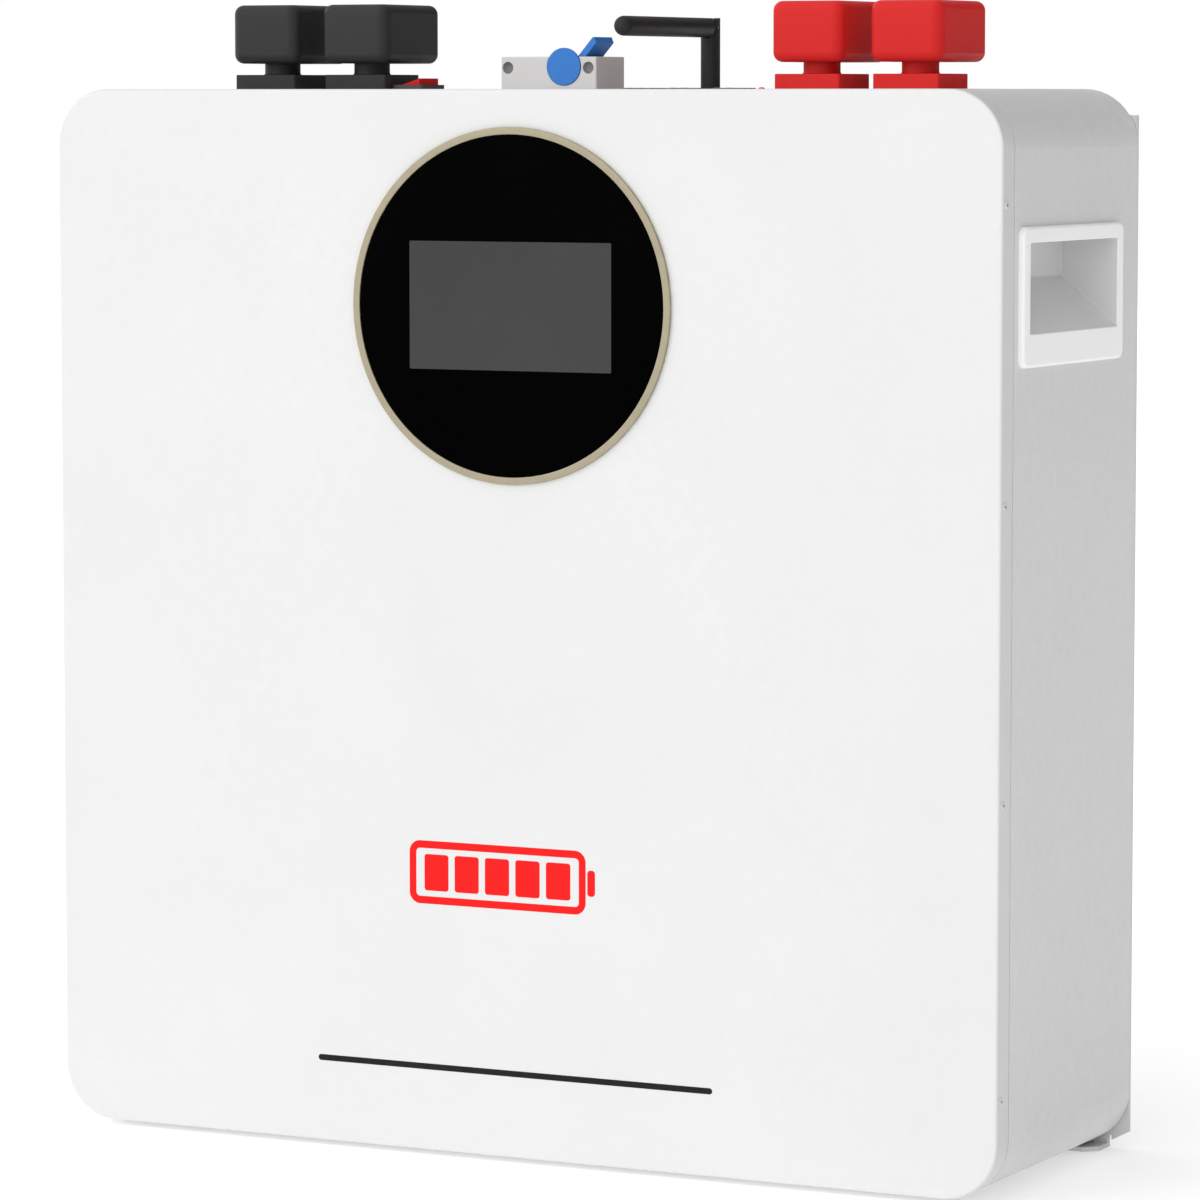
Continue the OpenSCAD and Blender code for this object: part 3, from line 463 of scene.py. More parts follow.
def finish(name, colour, roughness, metallic=0.0, grains=1500.0, bump=0.12, depth=0.05 * MM,
           drift=0.04, gloss_change=0.05, wear=0.0, wear_colour=None, dust=0.0, lines=None,
           specular=0.5, coat=0.0, coat_roughness=0.1):
    """Principled material whose colour, roughness and normal come from the shared groups."""
    material = bpy.data.materials.new(name)
    material.use_nodes = True
    tree = material.node_tree
    shader = tree.nodes["Principled BSDF"]
    shader.inputs["Metallic"].default_value = metallic
    shader.inputs["Specular IOR Level"].default_value = specular
    if coat:
        shader.inputs["Coat Weight"].default_value = coat
        shader.inputs["Coat Roughness"].default_value = coat_roughness
    grain = placed(tree, GRAIN, Tone=(*colour, 1), Grains_per_metre=grains, Drift=drift,
                   Gloss=roughness, Gloss_change=gloss_change)
    colour_out, rough_out = grain.outputs["Colour"], grain.outputs["Roughness"]
    height = grain.outputs["Height"]
    if lines:
        brush = placed(tree, BRUSHED, Stretch=lines, Lines_per_metre=2200.0)
        height = brush.outputs["Height"]
        rough_out = math_node(tree, "ADD", rough_out,
                              math_node(tree, "MULTIPLY", brush.outputs["Streak"], 0.07))
    if wear:
        mask = placed(tree, EDGES, Amount=wear).outputs["Mask"]
        colour_out = blend_colour(tree, mask, colour_out, (*(wear_colour or colour), 1))
    if dust:
        mask = placed(tree, DUST, Amount=dust).outputs["Mask"]
        colour_out = blend_colour(tree, mask, colour_out, DUST_COLOUR)
        rough_out = math_node(tree, "ADD", rough_out, math_node(tree, "MULTIPLY", mask, 0.4))
    tree.links.new(colour_out, shader.inputs["Base Color"])
    tree.links.new(rough_out, shader.inputs["Roughness"])
    relief = tree.nodes.new("ShaderNodeBump")
    relief.inputs["Strength"].default_value = bump
    relief.inputs["Distance"].default_value = depth
    tree.links.new(height, relief.inputs["Height"])
    tree.links.new(relief.outputs["Normal"], shader.inputs["Normal"])
    return material


DUST_COLOUR = (0.52, 0.50, 0.47, 1)
LIGHT_EDGE = (0.88, 0.88, 0.88)
STEEL = (0.62, 0.63, 0.65)
FINISHES = {
    "case_white": finish("powder_coat_white", (0.665, 0.665, 0.665), 0.42, grains=1400, bump=0.22,
                         drift=0.012, gloss_change=0.04, wear=0.15, wear_colour=LIGHT_EDGE, dust=0.04),
    # the plate's white is set darker than the case's coat, as painted shade where the plate sits behind
    # the case
    "bracket_white": finish("powder_coat_plate_painted_shade", (0.585, 0.585, 0.585), 0.5, grains=1100, bump=0.3,
                            drift=0.02, wear=0.3, wear_colour=STEEL, dust=0.08),
    # this near-black also fills the floor of each cross recess in the white and zinc screw heads, as
    # painted shade
    "screw_dark": finish("black_oxide_and_painted_recess_shade", (0.035, 0.035, 0.037), 0.38, metallic=0.8, grains=3000,
                         wear=0.6, wear_colour=(0.35, 0.35, 0.36)),
    "trim_gold": finish("anodised_champagne", (0.32, 0.28, 0.192), 0.38, metallic=0.45, drift=0.03,
                        bump=0.1, lines=(1, 1, 0.02), wear=0.4, wear_colour=(0.85, 0.83, 0.74)),
    "display_black": finish("black_printed_glass", (0.0004, 0.0004, 0.0005), 0.08, grains=300,
                            bump=0.0, gloss_change=0.03, specular=0.01, drift=0.3),
    "screen": finish("screen_glass", (0.053, 0.053, 0.054), 0.16, grains=9000, bump=0.02,
                     gloss_change=0.04, specular=0.025, drift=0.05),
    "screen_metal": finish("screen_frame_steel", (0.45, 0.45, 0.46), 0.35, metallic=1.0,
                           lines=(1, 0.03, 1)),
    "board_green": finish("solder_mask", (0.02, 0.16, 0.06), 0.35, grains=700, drift=0.12, coat=0.4),
    "zinc": finish("zinc_plate", (0.66, 0.67, 0.70), 0.3, metallic=1.0, grains=900, drift=0.08,
                   gloss_change=0.12, wear=0.5, wear_colour=(0.86, 0.87, 0.88)),
    "handle_white": finish("handle_moulding", (0.97, 0.97, 0.97), 0.45, grains=2600, bump=0.18,
                           drift=0.012, dust=0.04),
    "cap_black": finish("cap_moulding_black", (0.0235, 0.0235, 0.024), 0.46, grains=2400, bump=0.3,
                        drift=0.08, wear=0.3, wear_colour=(0.05, 0.05, 0.05), specular=0.22),
    "cap_red": finish("cap_moulding_red", (0.63, 0.017, 0.016), 0.44, grains=2400, bump=0.25,
                      drift=0.03, wear=0.25, wear_colour=(0.70, 0.05, 0.04), specular=0.15),
    "brass": finish("nickelled_brass", (0.72, 0.56, 0.28), 0.26, metallic=1.0, grains=1200,
                    drift=0.08, gloss_change=0.1, wear=0.5, wear_colour=(0.9, 0.8, 0.55)),
    "copper": finish("bar_copper", (0.78, 0.36, 0.22), 0.3, metallic=1.0, lines=(0.04, 1, 1),
                     drift=0.1),
    "insulator": finish("glass_fibre_board", (0.72, 0.62, 0.36), 0.55, grains=600, drift=0.12,
                        bump=0.3),
    "breaker_grey": finish("breaker_moulding", (0.585, 0.572, 0.567), 0.5, grains=1800, bump=0.3,
                           drift=0.02, wear=0.3, wear_colour=(0.72, 0.71, 0.70), dust=0.05),
    "lever_blue": finish("lever_moulding", (0.019, 0.168, 0.546), 0.42, grains=2200, bump=0.15,
                         drift=0.03, wear=0.25, wear_colour=(0.10, 0.30, 0.66), specular=0.35),
    "switch_black": finish("switch_moulding", (0.040, 0.039, 0.039), 0.48, grains=2000, bump=0.3,
                           drift=0.05, dust=0.04),
    "rocker_red": finish("rocker_gloss", (0.60, 0.006, 0.008), 0.34, grains=500, bump=0.03,
                         drift=0.03, specular=0.15),
    "lens_white": finish("lens_white", (0.80, 0.82, 0.76), 0.22, grains=400, bump=0.05, coat=0.6),
    "lens_green": finish("lens_green", (0.06, 0.52, 0.10), 0.2, grains=400, bump=0.05, coat=0.6),
    "lens_red": finish("lens_red", (0.66, 0.03, 0.02), 0.2, grains=400, bump=0.05, coat=0.6),
    "antenna_black": finish("antenna_skin", (0.012, 0.012, 0.012), 0.5, grains=2600, bump=0.25,
                            drift=0.08, specular=0.3),
    "cell_blue": finish("cell_film", (0.05, 0.16, 0.45), 0.3, grains=160, bump=0.25, depth=0.3 * MM,
                        drift=0.05, coat=0.4),
    "aluminium": finish("milled_aluminium", (0.70, 0.71, 0.72), 0.33, metallic=1.0,
                        lines=(0.05, 1, 1)),
    "cable_orange": finish("silicone_jacket", (0.72, 0.14, 0.02), 0.55, grains=1500, bump=0.15),
}

INK_RED = finish("print_red", (0.78, 0.002, 0.002), 0.5, specular=0.2, grains=1600, bump=0.08,
                 drift=0.02)
# handle pocket: a darker copy of the handle's white on the faces inside the grip, as painted shade in
# the recess; the rougher grain is the moulding's own
PAINTED_POCKET_SHADE = finish("handle_pocket_grain_and_painted_shade", (0.71, 0.71, 0.71), 0.6, grains=1300, bump=0.35, drift=0.02)
# the steel rivets are drawn in a dull dark grey: painted shade of their dished hollows
RIVET_PAINTED_SHADE = finish("rivet_painted_shade", (0.16, 0.16, 0.162), 0.42, grains=1600, bump=0.15, drift=0.06)
INK_BLACK = finish("print_black", (0.004, 0.004, 0.004), 0.5, specular=0.2, grains=1600, bump=0.08,
                   drift=0.05)

# every CAD node starts with the finish of its slot; the pieces below replace the ones in view
for part in frame["record"]["subparts"]:
    node = frame["nodes"][part["node"]]
    node.data.materials.clear()
    node.data.materials.append(FINISHES[part["material_slot"]])
    node.data.set_sharp_from_angle(angle=math.radians(30))

# ---------------------------------------------------------------- case and front


def front_cover():
    """Deep-drawn cover with an eased front edge, a folded skirt and the display window."""
    edge, bend, cut_edge = 1.1 * MM, 1.8 * MM, 0.25 * MM
    window = 66.5 * MM

    def shape(inset, y):
        return along_y(rounded(2 * SIDE, 2 * TOP, CORNER, inset, 12), y)

    bm = bmesh.new()
    outer = [shape(SHEET, SKIRT_BACK), shape(cut_edge, SKIRT_BACK), shape(0, SKIRT_BACK - cut_edge)]
    outer += [shape(inset, FRONT + depth) for inset, depth in easing(edge, 7)]
    outer.append(shape(edge + 0.5 * MM, FRONT))
    rows = loft(bm, outer, start=False, end=False)
    inside = [shape(SHEET, FRONT + SHEET + bend), shape(SHEET + bend, FRONT + SHEET)]
    back = loft(bm, inside, start=False, end=False)
    bridge(bm, rows[0], back[0])
    hole = loft(bm, [along_y(circle(window, 96), y, DISPLAY.x, DISPLAY.z)
                     for y in (FRONT, FRONT + SHEET)], start=False, end=False)
    bridge(bm, rows[-1], hole[0])
    bridge(bm, back[-1], hole[1])
    piece("front_cover_shell", bm, "case", FINISHES["case_white"], ["front_cover"])


def screw_head(bm, radius, dome, place):
    """Low domed head with a cross recess; place maps (outline, height) to a ring."""
    mark = cross_outline(0.16 * radius, 0.6 * radius)
    profile = [(1, 0), (1, 0.3), (0.96, 0.6), (0.86, 0.85), (0.74, 1)]
    rings = [(at_angles(mark, r * radius), h * dome) for r, h in profile]
    rings += [(mark, dome), ([(0.9 * u, 0.9 * v) for u, v in mark], 0.15 * dome)]
    before = set(bm.faces)
    loft(bm, [place(outline, height) for outline, height in rings])
    # the recess floor takes the second material, near-black, as painted shade in the cross recess
    deep = place([(0, 0)], 0.15 * dome)[0]
    for face in set(bm.faces) - before:
        if (face.calc_center_median() - deep).length < 0.5 * radius and len(face.verts) > 4:
            face.material_index = 1


def cover_screws():
    """Four painted heads down each side of the cover."""
    low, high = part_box("cover_screws")
    head = (high.y - low.y) / 2
    bm = bmesh.new()
    y = (low.y + high.y) / 2
    rows = 4
    for sign in (-1, 1):
        for i in range(rows):
            z = low.z + head + i * (high.z - low.z - 2 * head) / (rows - 1)
            screw_head(bm, head, high.x - SIDE - HAIR, lambda outline, height, s=sign, z=z:
                       along_x(outline, s * (SIDE + HAIR + height), y, z))
    # the second material is painted shade in the cross recesses
    piece("cover_screw_heads", bm, "case",
          [FINISHES["case_white"], FINISHES["screw_dark"]], ["cover_screws"], smooth=50)


def display():
    """Brushed trim ring and the round glass with its lit window."""
    low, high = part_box("display_ring")
    radius, width = (high.x - low.x) / 2, 3.1 * MM
    face = low.y
    inside = radius - width
    ease = 0.35 * MM
    profile = [(radius, FRONT), (radius, face + ease), (radius - 0.1 * MM, face + 0.1 * MM),
               (radius - ease, face), (inside + ease, face), (inside + 0.08 * MM, face + 0.1 * MM),
               (inside, face + ease), (inside, FRONT)]
    bm = bmesh.new()
    loft(bm, [along_y(circle(r, 144), y, DISPLAY.x, DISPLAY.z) for r, y in profile], close=True)
    piece("display_trim", bm, "case", FINISHES["trim_gold"], ["display_ring"])

    glass_low, glass_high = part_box("display_glass")
    glass = (glass_high.x - glass_low.x) / 2
    rim = 0.3 * MM
    bm = bmesh.new()
    rings = [(glass, glass_high.y), (glass, glass_low.y + rim),
             (glass - 0.1 * MM, glass_low.y + 0.08 * MM), (glass - rim, glass_low.y)]
    rows = loft(bm, [along_y(circle(r, 144), y, DISPLAY.x, DISPLAY.z) for r, y in rings], end=False)
    lit_width, lit_height = 95.04 * MM, 53.86 * MM
    outline = rounded(lit_width, lit_height, 0.6 * MM, 0, 3)
    window = [bm.verts.new(point) for point in along_y(outline, glass_low.y, DISPLAY.x, DISPLAY.z)]
    screen = bm.faces.new(window)
    screen.material_index = 1
    bridge(bm, rows[-1], window)
    piece("display_cover_glass", bm, "case",
          [FINISHES["display_black"], FINISHES["screen"]], ["display_glass"])


def front_marks():
    """Plain charge symbol and a thin rule, as two printed marks."""
    ink = 0.06 * MM
    y_out, y_in = FRONT - ink, FRONT + 0.02 * MM
    bm = bmesh.new()

    def bar(x, z, width, height, radius):
        outline = rounded(width, height, radius, 0, 5)
        loft(bm, [along_y(outline, y_in, x, z), along_y(outline, y_out, x, z)])

    centre_x, centre_z = -7 * MM, -106 * MM
    width, height, line, radius = 84 * MM, 27 * MM, 3.2 * MM, 5 * MM
    margin, gap = 5 * MM, 3 * MM
    outer, inner = rounded(width, height, radius, 0, 8), rounded(width, height, radius, line, 8)
    loft(bm, [along_y(o, y, centre_x, centre_z) for o, y in
              ((outer, y_in), (outer, y_out), (inner, y_out), (inner, y_in))], close=True)
    bar(centre_x + width / 2 + 2.6 * MM, centre_z, 3.6 * MM, 11 * MM, 1.4 * MM)
    cells = 5
    room = width - 2 * line - margin
    pitch = room / cells
    for i in range(cells):
        bar(centre_x - room / 2 + (i + 0.5) * pitch, centre_z, pitch - gap,
            height - 2 * line - margin, 1.2 * MM)
    piece("front_mark_charge", bm, "case", INK_RED, weighted=False)

    bm = bmesh.new()
    rule_z, rule_length, rule_height = -189.5 * MM, 188 * MM, 2.6 * MM
    bar(0, rule_z, rule_length, rule_height, 1.29 * MM)
    piece("front_mark_rule", bm, "case", INK_BLACK, weighted=False)


# ---------------------------------------------------------------- handles


def handle(node, sign):
    """Moulded recessed grip: flange, mouth, sloping floor and a finger hold behind the top."""
    low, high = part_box(node)
    centre_y, centre_z = (low.y + high.y) / 2, (low.z + high.z) / 2
    width, height = high.y - low.y, high.z - low.z
    face = max(abs(low.x), abs(high.x))
    mouth_w, mouth_low, mouth_top = 95.5 * MM, -15 * MM, 22 * MM
    floor_rise, finger, lip, wall = 21 * MM, 3 * MM, 4.5 * MM, 2 * MM
    depth = 26 * MM
    soft = 1.3 * MM

    def ring(w, z0, z1, x, radius, inset=0.0):
        outline = rounded(w, z1 - z0, radius, inset, 6)
        return along_x(outline, sign * x, centre_y, centre_z + (z0 + z1) / 2)

    def floor(x):
        slope = floor_rise / (depth - 0.5 * MM)
        return mouth_low + slope * max(0.0, face - 0.5 * MM - x)

    bottom = face - depth
    behind = bottom - wall
    half = height / 2
    pocket_top = mouth_top + finger
    corner = 0.7 * MM
    rings = [
        ring(mouth_w + 2 * wall, floor(behind) - wall, pocket_top + wall, behind, 2 * MM),
        ring(mouth_w + 2 * wall, mouth_low - wall, pocket_top + wall, SIDE, 2 * MM),
        ring(width, -half, half, SIDE, 4 * MM),
    ]
    rings += [ring(width, -half, half, face - d, 4 * MM, inset) for inset, d in easing(soft, 5)]
    rings += [
        ring(mouth_w, mouth_low, mouth_top, face, 1.2 * MM, -0.45 * MM),
        ring(mouth_w, mouth_low, mouth_top, face - 0.12 * MM, 1.0 * MM, -0.12 * MM),
        ring(mouth_w, mouth_low, mouth_top, face - 0.5 * MM, 0.8 * MM),
    ]
    hold = face - lip                       # the finger hold starts behind the lip
    for x, z_top, radius, inset in (
            (hold, mouth_top, 0.8 * MM, 0),
            (hold - 0.4 * MM, mouth_top + 0.3 * MM, 0.8 * MM, 0),
            (hold - 0.6 * MM, pocket_top - 0.6 * MM, 1 * MM, 0),
            (hold - 1.4 * MM, pocket_top, corner, 0),
            (bottom + corner, pocket_top, corner, 0),
            (bottom + corner / 3, pocket_top, corner, corner / 3),
            (bottom, pocket_top, corner, corner)):
        rings.append(ring(mouth_w, floor(x), z_top, x, radius, inset))
    bm = bmesh.new()
    loft(bm, rings)
    # faces inside the pocket take the second, darker material: painted shade in the recess
    for inner_face in bm.faces:
        spot = inner_face.calc_center_median()
        reach, height_in = abs(spot.x), spot.z - centre_z
        between = abs(spot.y - centre_y) < mouth_w / 2 + HAIR
        above = floor(reach) - 2 * HAIR < height_in < pocket_top + HAIR
        if bottom - HAIR < reach < face - 0.3 * MM and between and above:
            inner_face.material_index = 1
    piece(node + "_moulding", bm, "case", [FINISHES["handle_white"], PAINTED_POCKET_SHADE], [node],
          smooth=40)


# ---------------------------------------------------------------- terminals


def terminal_bases(node, xs, shade):
    """Square foot with crisp edges, four sunk screw seats and a round neck."""
    low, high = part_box(node)
    foot_w = high.x - low.x - (xs[1] - xs[0])
    foot_d = high.y - low.y
    ease, root = 0.35 * MM, NECK + 0.8 * MM
    foot = [(0, TOP)] + [(inset, BASE_TOP - depth) for inset, depth in easing(ease, 3)]
    neck = [(root, BASE_TOP), (NECK + 0.25 * MM, BASE_TOP + 0.2 * MM), (NECK, BASE_TOP + 0.8 * MM),
            (NECK, high.z - 0.4 * MM), (NECK - 0.4 * MM, high.z), (STUD_BORE, high.z),
            (STUD_BORE, BASE_TOP)]
    spigot = [(root, TOP - 2 * HAIR), (root, low.z)]
    bm = bmesh.new()
    for x in xs:
        rows = loft(bm, [along_z(rounded(foot_w, foot_d, 1 * MM, inset, 4), z, x, ROW_Y)
                         for inset, z in foot], end=False)
        neck_rows = loft(bm, [along_z(circle(r, 48), z, x, ROW_Y) for r, z in neck], start=False)
        top_edges = edges_between(rows[-1]) + edges_between(neck_rows[0])
        for cx, cy in screw_places(x):
            seat = loft(bm, [along_z(circle(SCREW_SEAT, 24), z, cx, cy)
                             for z in (BASE_TOP, BASE_TOP - SCREW_SINK)], start=False)
            top_edges += edges_between(seat[0])
        bmesh.ops.triangle_fill(bm, use_beauty=True, edges=top_edges, normal=(0, 0, 1))
        loft(bm, [along_z(circle(r, 48), z, x, ROW_Y) for r, z in spigot])
    piece(node + "_moulded", bm, "case", shade, [node])


def screw_places(x):
    """Middles of the four screws round one terminal."""
    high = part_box("base_screws")[1]
    out_x, out_y = high.x - SCREW_HEAD - TERMINALS[-1], high.y - SCREW_HEAD - ROW_Y
    return [(x + sx * out_x, ROW_Y + sy * out_y) for sx in (-1, 1) for sy in (-1, 1)]


def base_screws():
    """Heads sunk in the four seats of each base."""
    seat = BASE_TOP - SCREW_SINK
    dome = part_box("base_screws")[1].z - seat
    bm = bmesh.new()
    for x in TERMINALS:
        for cx, cy in screw_places(x):
            screw_head(bm, SCREW_HEAD, dome, lambda outline, height, cx=cx, cy=cy:
                       along_z(outline, seat + height, cx, cy))
    # the second material is painted shade in the cross recesses
    piece("base_screw_heads", bm, "case", [FINISHES["zinc"], FINISHES["screw_dark"]],
          ["base_screws"], smooth=50)


def thread(bm, x, y, z0, z1, radius, pitch, around=36, steps=8):
    """Rod with a V thread that runs out at both ends."""
    rows = []
    count = int((z1 - z0) / pitch * steps)
    cut_depth = 0.54 * pitch
    for k in range(count + 1):
        z = z0 + (z1 - z0) * k / count
        fade = min(1.0, (z - z0) / pitch, (z1 - z) / pitch)
        ring = []
        for i in range(around):
            turn = 2 * math.pi * i / around
            phase = (z / pitch - i / around) % 1.0
            r = radius - cut_depth * fade * (1 - abs(2 * phase - 1))
            ring.append(Vector((x + r * math.cos(turn), y + r * math.sin(turn), z)))
        rows.append(ring)
    tip = [Vector((x + (p.x - x) * 0.8, y + (p.y - y) * 0.8, z1)) for p in rows[-1]]
    loft(bm, rows + [tip])


def terminal_studs():
    """Studs with a thread above, a plain shank and a round flange inside the case."""
    low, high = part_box("terminal_studs")
    thread_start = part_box("terminal_nuts")[1].z - 8 * MM
    flange, flange_top, flange_low = 9 * MM, TOP - 4.2 * MM, TOP - 6.2 * MM
    shank = [(STUD, thread_start - 0.1 * MM), (STUD, flange_top), (flange, flange_top),
             (flange, flange_low), (STUD, flange_low), (STUD, low.z + 0.6 * MM), (3.4 * MM, low.z)]
    bm = bmesh.new()
    for x in TERMINALS:
        thread(bm, x, ROW_Y, thread_start, high.z, STUD, 1.25 * MM)
        loft(bm, [along_z(circle(r, 36), z, x, ROW_Y) for r, z in shank])
    piece("terminal_stud_threads", bm, "case", FINISHES["brass"], ["terminal_studs"])


def terminal_nuts():
    """Hexagon nuts with chamfered corners and a countersunk bore."""
    low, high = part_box("terminal_nuts")
    flats, uncut, lead = 13 * MM, 1.0, 0.5 * MM
    cut_face, cut_side = 0.48 * flats, 0.54 * flats
    heights = [(low.z, cut_face), (low.z + 0.6 * MM, cut_side), (low.z + 0.9 * MM, uncut),
               (high.z - 0.9 * MM, uncut), (high.z - 0.6 * MM, cut_side), (high.z, cut_face)]
    bore = [(STUD_BORE + lead, high.z), (STUD_BORE, high.z - lead), (STUD_BORE, low.z + lead),
            (STUD_BORE + lead, low.z)]
    bm = bmesh.new()
    for x in TERMINALS:
        rings = [along_z(hexagon(flats, limit), z, x, ROW_Y) for z, limit in heights]
        rings += [along_z(circle(r, 48), z, x, ROW_Y) for r, z in bore]
        loft(bm, rings, close=True)
    piece("terminal_nuts_chamfered", bm, "case", FINISHES["zinc"], ["terminal_nuts"])


def contact_washers():
    """Flat brass washers with eased rims."""
    low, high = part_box("contact_washers")
    outer, ease = high.x - TERMINALS[-1], 0.2 * MM
    profile = [(STUD_BORE, low.z), (outer - ease, low.z), (outer, low.z + ease),
               (outer, high.z - ease), (outer - ease, high.z), (STUD_BORE, high.z)]
    bm = bmesh.new()
    for x in TERMINALS:
        loft(bm, [along_z(circle(r, 64), z, x, ROW_Y) for r, z in profile], close=True)
    piece("contact_washers_eased", bm, "case", FINISHES["brass"], ["contact_washers"])


def spring_washers():
    """Split washers of square section."""
    low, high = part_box("spring_washers")
    outer, gap, count = high.x - TERMINALS[-1], 7, 56
    square = [(STUD_BORE, low.z), (outer, low.z), (outer, high.z), (STUD_BORE, high.z)]
    bm = bmesh.new()
    for x in TERMINALS:
        sections = []
        for i in range(count + 1):
            turn = math.radians(gap + (360 - 2 * gap) * i / count)
            sections.append([Vector((x + r * math.cos(turn), ROW_Y + r * math.sin(turn), z))
                             for r, z in square])
        loft(bm, sections)
    piece("spring_washers_split", bm, "case", FINISHES["zinc"], ["spring_washers"])


def terminal_cap(node, slot):
    """Soft-cornered hollow cap with a neck hole below and a cable outlet behind."""
    low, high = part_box(node)
    x, y = (low.x + high.x) / 2, (low.y + high.y) / 2
    width, depth = high.x - low.x, high.y - low.y
    corner, soft, wall = 5 * MM, 4 * MM, 2 * MM
    neck_hole = NECK + 0.08 * MM

    def box(wall, soft, steps):
        """Skin a wall's thickness inside the cap's outside, with soft upper and lower edges."""
        steps = easing(soft, steps)
        heights = [(inset, low.z + wall + d) for inset, d in reversed(steps)]
        heights += [(inset, high.z - wall - d) for inset, d in steps]
        return loft(bm, [along_z(rounded(width - 2 * wall, depth - 2 * wall, corner - wall, inset, 8),
                                 z, x, y) for inset, z in heights], start=False)

    bm = bmesh.new()
    shell = box(0, soft, 7)
    cavity = box(wall, 2.2 * MM, 3)
    hole = loft(bm, [along_z(circle(neck_hole + 0.4 * MM, 48), low.z, x, ROW_Y),
                     along_z(circle(neck_hole, 48), low.z + 0.4 * MM, x, ROW_Y),
                     along_z(circle(neck_hole, 48), low.z + wall, x, ROW_Y)], start=False, end=False)
    bridge(bm, shell[0], hole[0])
    bridge(bm, cavity[0], hole[-1])
    bmesh.ops.recalc_face_normals(bm, faces=bm.faces)
    mesh = bpy.data.meshes.new("cap_blank")
    bm.to_mesh(mesh)
    bm.free()
    blank = bpy.data.objects.new("cap_blank", mesh)
    bpy.context.scene.collection.objects.link(blank)
    z = (low.z + high.z) / 2
    outlet = 6 * MM
    cutter = [(outlet, high.y - wall - 2 * MM), (outlet, high.y - 0.6 * MM), (outlet + 0.6 * MM, high.y),
              (outlet + 0.6 * MM, high.y + 1 * MM)]
    result = cut(blank, [along_y(circle(r, 40), cy, x, z) for r, cy in cutter])
    bpy.data.objects.remove(blank)
    piece(node + "_moulded", result, node, FINISHES[slot], [node])


# ---------------------------------------------------------------- breaker, switch, ports, antenna


def breaker_rivets():
    """Dished rivets deep in both faces of the breaker's nose."""
    low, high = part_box("breaker_rivets")
    radius = 2.6 * MM
    z = (low.z + high.z) / 2
    profile = [(radius, 1.2), (radius, 0.0), (0.94 * radius, 0.1), (0.8 * radius, 0.42),
               (0.55 * radius, 0.72), (0.25 * radius, 0.9)]
    bm = bmesh.new()
    for x in (low.x + radius, high.x - radius):
        for face, inward in ((low.y, 1), (high.y, -1)):
            loft(bm, [along_y(circle(r, 32), face + inward * d * MM, x, z) for r, d in profile])
    # the dark grey of the rivets is painted shade in their hollows
    piece("breaker_rivets_dished", bm, "case", RIVET_PAINTED_SHADE, ["breaker_rivets"])


def port_contacts():
    """Eight fine contact wires in each data socket."""
    pitch, count = 1.02 * MM, 8
    section = rounded(0.3 * MM, 0.42 * MM, 0.1 * MM, 0, 1)
    bm = bmesh.new()
    for middle_x in PORTS_X:
        wall = middle_x + 5.2 * MM
        for i in range(count):
            y = ROW_Y + (i - (count - 1) / 2) * pitch
            path = [(wall - 0.1 * MM, TOP - 1.6 * MM), (wall - 0.5 * MM, TOP - 2.0 * MM),
                    (wall - 3.4 * MM, TOP - 8.6 * MM), (wall - 3.9 * MM, TOP - 11.2 * MM)]
            loft(bm, [along_z(section, z, x, y) for x, z in path])
    piece("port_contact_wires", bm, "case", FINISHES["brass"])


def fault_lamp():
    """Small domed lens."""
    low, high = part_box("fault_lamp")
    x, radius = (low.x + high.x) / 2, (high.x - low.x) / 2
    dome = 0.7 * MM
    bm = bmesh.new()
    rings = [(radius, low.z), (radius, high.z - dome)]
    for degrees in (25, 50, 70, 84):
        turn = math.radians(degrees)
        rings.append((radius * math.cos(turn), high.z - dome + dome * math.sin(turn)))
    loft(bm, [along_z(circle(r, 32), z, x, ROW_Y) for r, z in rings])
    piece("fault_lamp_lens", bm, "case", FINISHES["lens_red"], ["fault_lamp"])


# CAD node, edge width in mm, body and slot
EASED = (
    ("wall_plate", 0.4, "bracket", "bracket_white"),
    ("hanger_hooks", 0.4, "bracket", "bracket_white"),
    ("breaker_body", 0.15, "case", "breaker_grey"),
    ("breaker_lever", 0.22, "breaker_lever", "lever_blue"),
    ("switch_body", 0.3, "case", "switch_black"),
    ("switch_rocker", 0.35, "switch_rocker", "rocker_red"),
    ("port_sockets", 0.15, "case", "switch_black"),
    ("port_leds_white", 0.15, "case", "lens_white"),
    ("port_leds_green", 0.15, "case", "lens_green"),
    ("antenna_post", 0.5, "antenna_post", "antenna_black"),
    ("antenna_arm", 0.4, "antenna_arm", "antenna_black"),
)

BREAKER_CROWN = 0.52 * MM

front_cover()
cover_screws()
display()
front_marks()
handle("handle_right", 1)
handle("handle_left", -1)
terminal_bases("negative_terminal_bases", TERMINALS[:2], FINISHES["cap_black"])
terminal_bases("positive_terminal_bases", TERMINALS[2:], FINISHES["cap_red"])
base_screws()
terminal_studs()
terminal_nuts()
contact_washers()
spring_washers()
for cap, cap_slot in CAPS.items():
    terminal_cap(cap, cap_slot)
breaker_rivets()
port_contacts()
fault_lamp()
for node, width, body, slot in EASED:
    crown = BREAKER_CROWN if node == "breaker_body" else 0.0
    eased_copy(node, width * MM, body, FINISHES[slot], crown=crown)

# ---------------------------------------------------------------- camera, light and floor

scene = bpy.context.scene
scene.view_settings.view_transform = "Standard"

TURN, PITCH = 0.468, 0.09       # to the left and down, in radians
look = Vector((-math.sin(TURN) * math.cos(PITCH), math.cos(TURN) * math.cos(PITCH),
               -math.sin(PITCH)))
camera_data = bpy.data.cameras.new("camera")
camera_data.lens = 167.26
camera_data.sensor_width = 36
camera = bpy.data.objects.new("camera", camera_data)
camera.location = (1.085, -2.214, 0.2222)
camera.rotation_euler = look.to_track_quat("-Z", "Y").to_euler()
scene.collection.objects.link(camera)
scene.camera = camera


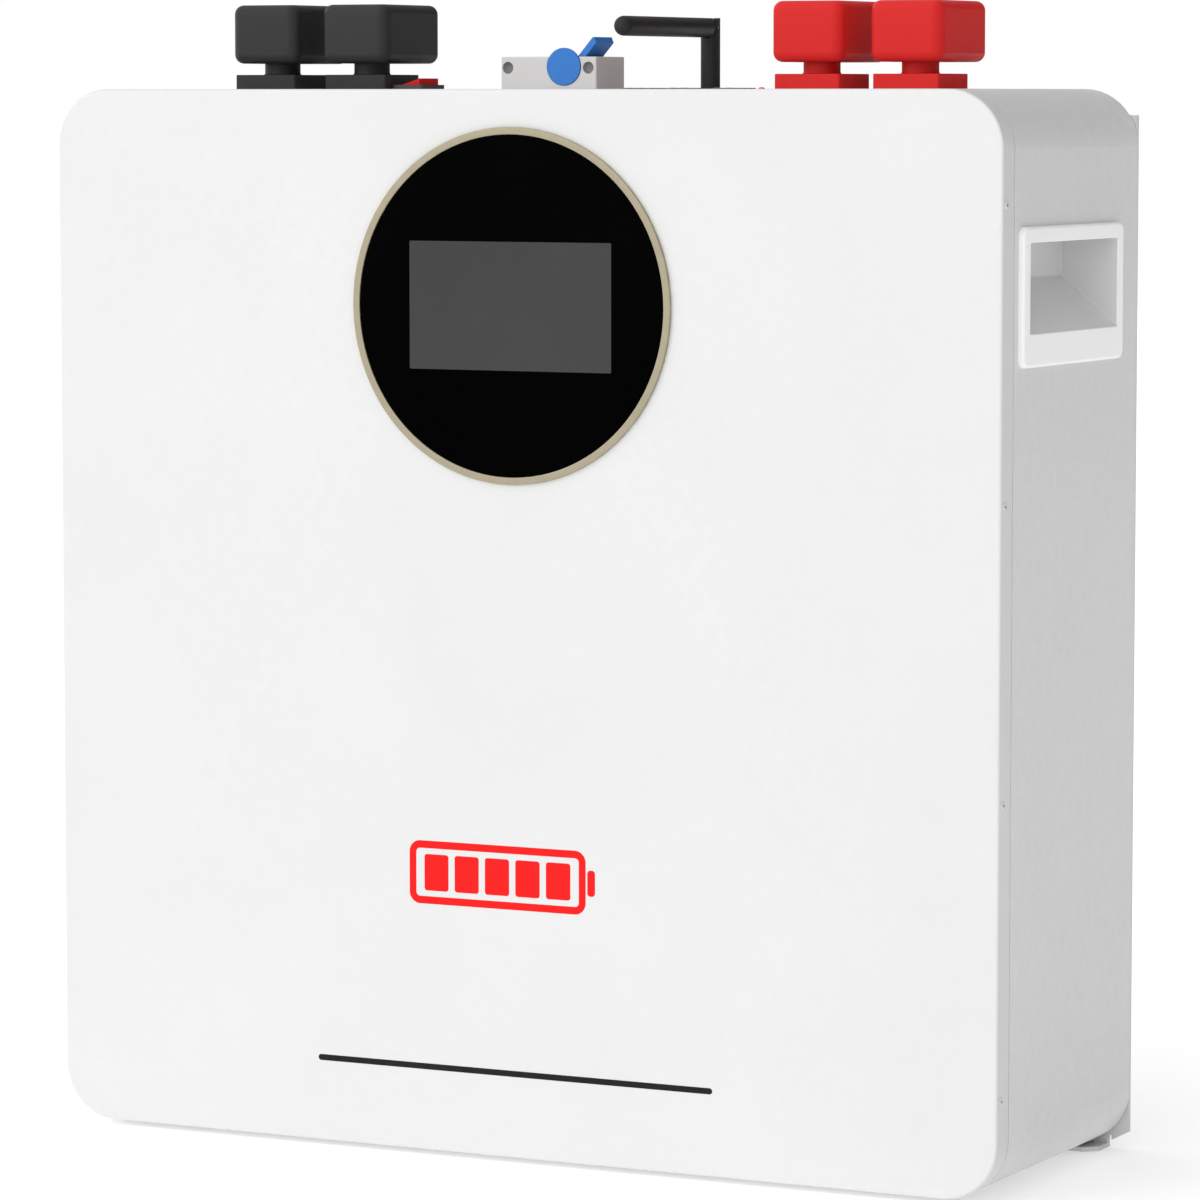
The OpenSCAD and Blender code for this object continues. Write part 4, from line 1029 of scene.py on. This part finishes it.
def soft_light(name, place, size, power, target=(0, -0.07, 0)):
    """Square area light that faces the case."""
    data = bpy.data.lights.new(name, "AREA")
    data.shape = "SQUARE"
    data.size = size
    data.energy = power
    light = bpy.data.objects.new(name, data)
    light.location = place
    light.rotation_euler = (Vector(target) - Vector(place)).to_track_quat("-Z", "Y").to_euler()
    scene.collection.objects.link(light)


soft_light("key", (-1.3, -2.4, 1.1), 1.6, 6)
soft_light("overhead", (0.2, 0.1, 2.4), 1.6, 1.5)

# studio surround: brighter towards the front left, and plain white where the camera sees it
world = bpy.data.worlds.new("studio")
world.use_nodes = True
scene.world = world
sky = world.node_tree
sky.nodes.clear()
output = sky.nodes.new("ShaderNodeOutputWorld")
seen = add(sky, "ShaderNodeBackground", Color=(1, 1, 1, 1), Strength=1.0)
lit = add(sky, "ShaderNodeBackground", Color=(1, 1, 1, 1))
toward = sky.nodes.new("ShaderNodeVectorMath")
toward.operation = "DOT_PRODUCT"
toward.inputs[1].default_value = (-0.60, -0.79, 0.10)
sky.links.new(sky.nodes.new("ShaderNodeTexCoord").outputs["Generated"], toward.inputs[0])
sky.links.new(spread(sky, toward.outputs["Value"], -1, 1, 0.02, 1.62), lit.inputs["Strength"])
path = sky.nodes.new("ShaderNodeLightPath")
choose = sky.nodes.new("ShaderNodeMixShader")
sky.links.new(path.outputs["Is Camera Ray"], choose.inputs[0])
sky.links.new(lit.outputs[0], choose.inputs[1])
sky.links.new(seen.outputs[0], choose.inputs[2])
sky.links.new(choose.outputs[0], output.inputs[0])

floor_mesh = bpy.data.meshes.new("studio_floor")
span, drop = 9.0, cad_box[0][2] - 0.3 * MM
floor_mesh.from_pydata([(-span, -span, drop), (span, -span, drop), (span, span, drop),
                        (-span, span, drop)], [], [(0, 1, 2, 3)])
floor = bpy.data.objects.new("studio_floor", floor_mesh)
paper = finish("floor_paper", (0.94, 0.94, 0.94), 0.8, grains=300, bump=0.02, drift=0.004)
paper_shader = paper.node_tree.nodes["Principled BSDF"]
paper_shader.inputs["Emission Color"].default_value = (1, 1, 1, 1)
paper_shader.inputs["Emission Strength"].default_value = 0.3
floor_mesh.materials.append(paper)
scene.collection.objects.link(floor)
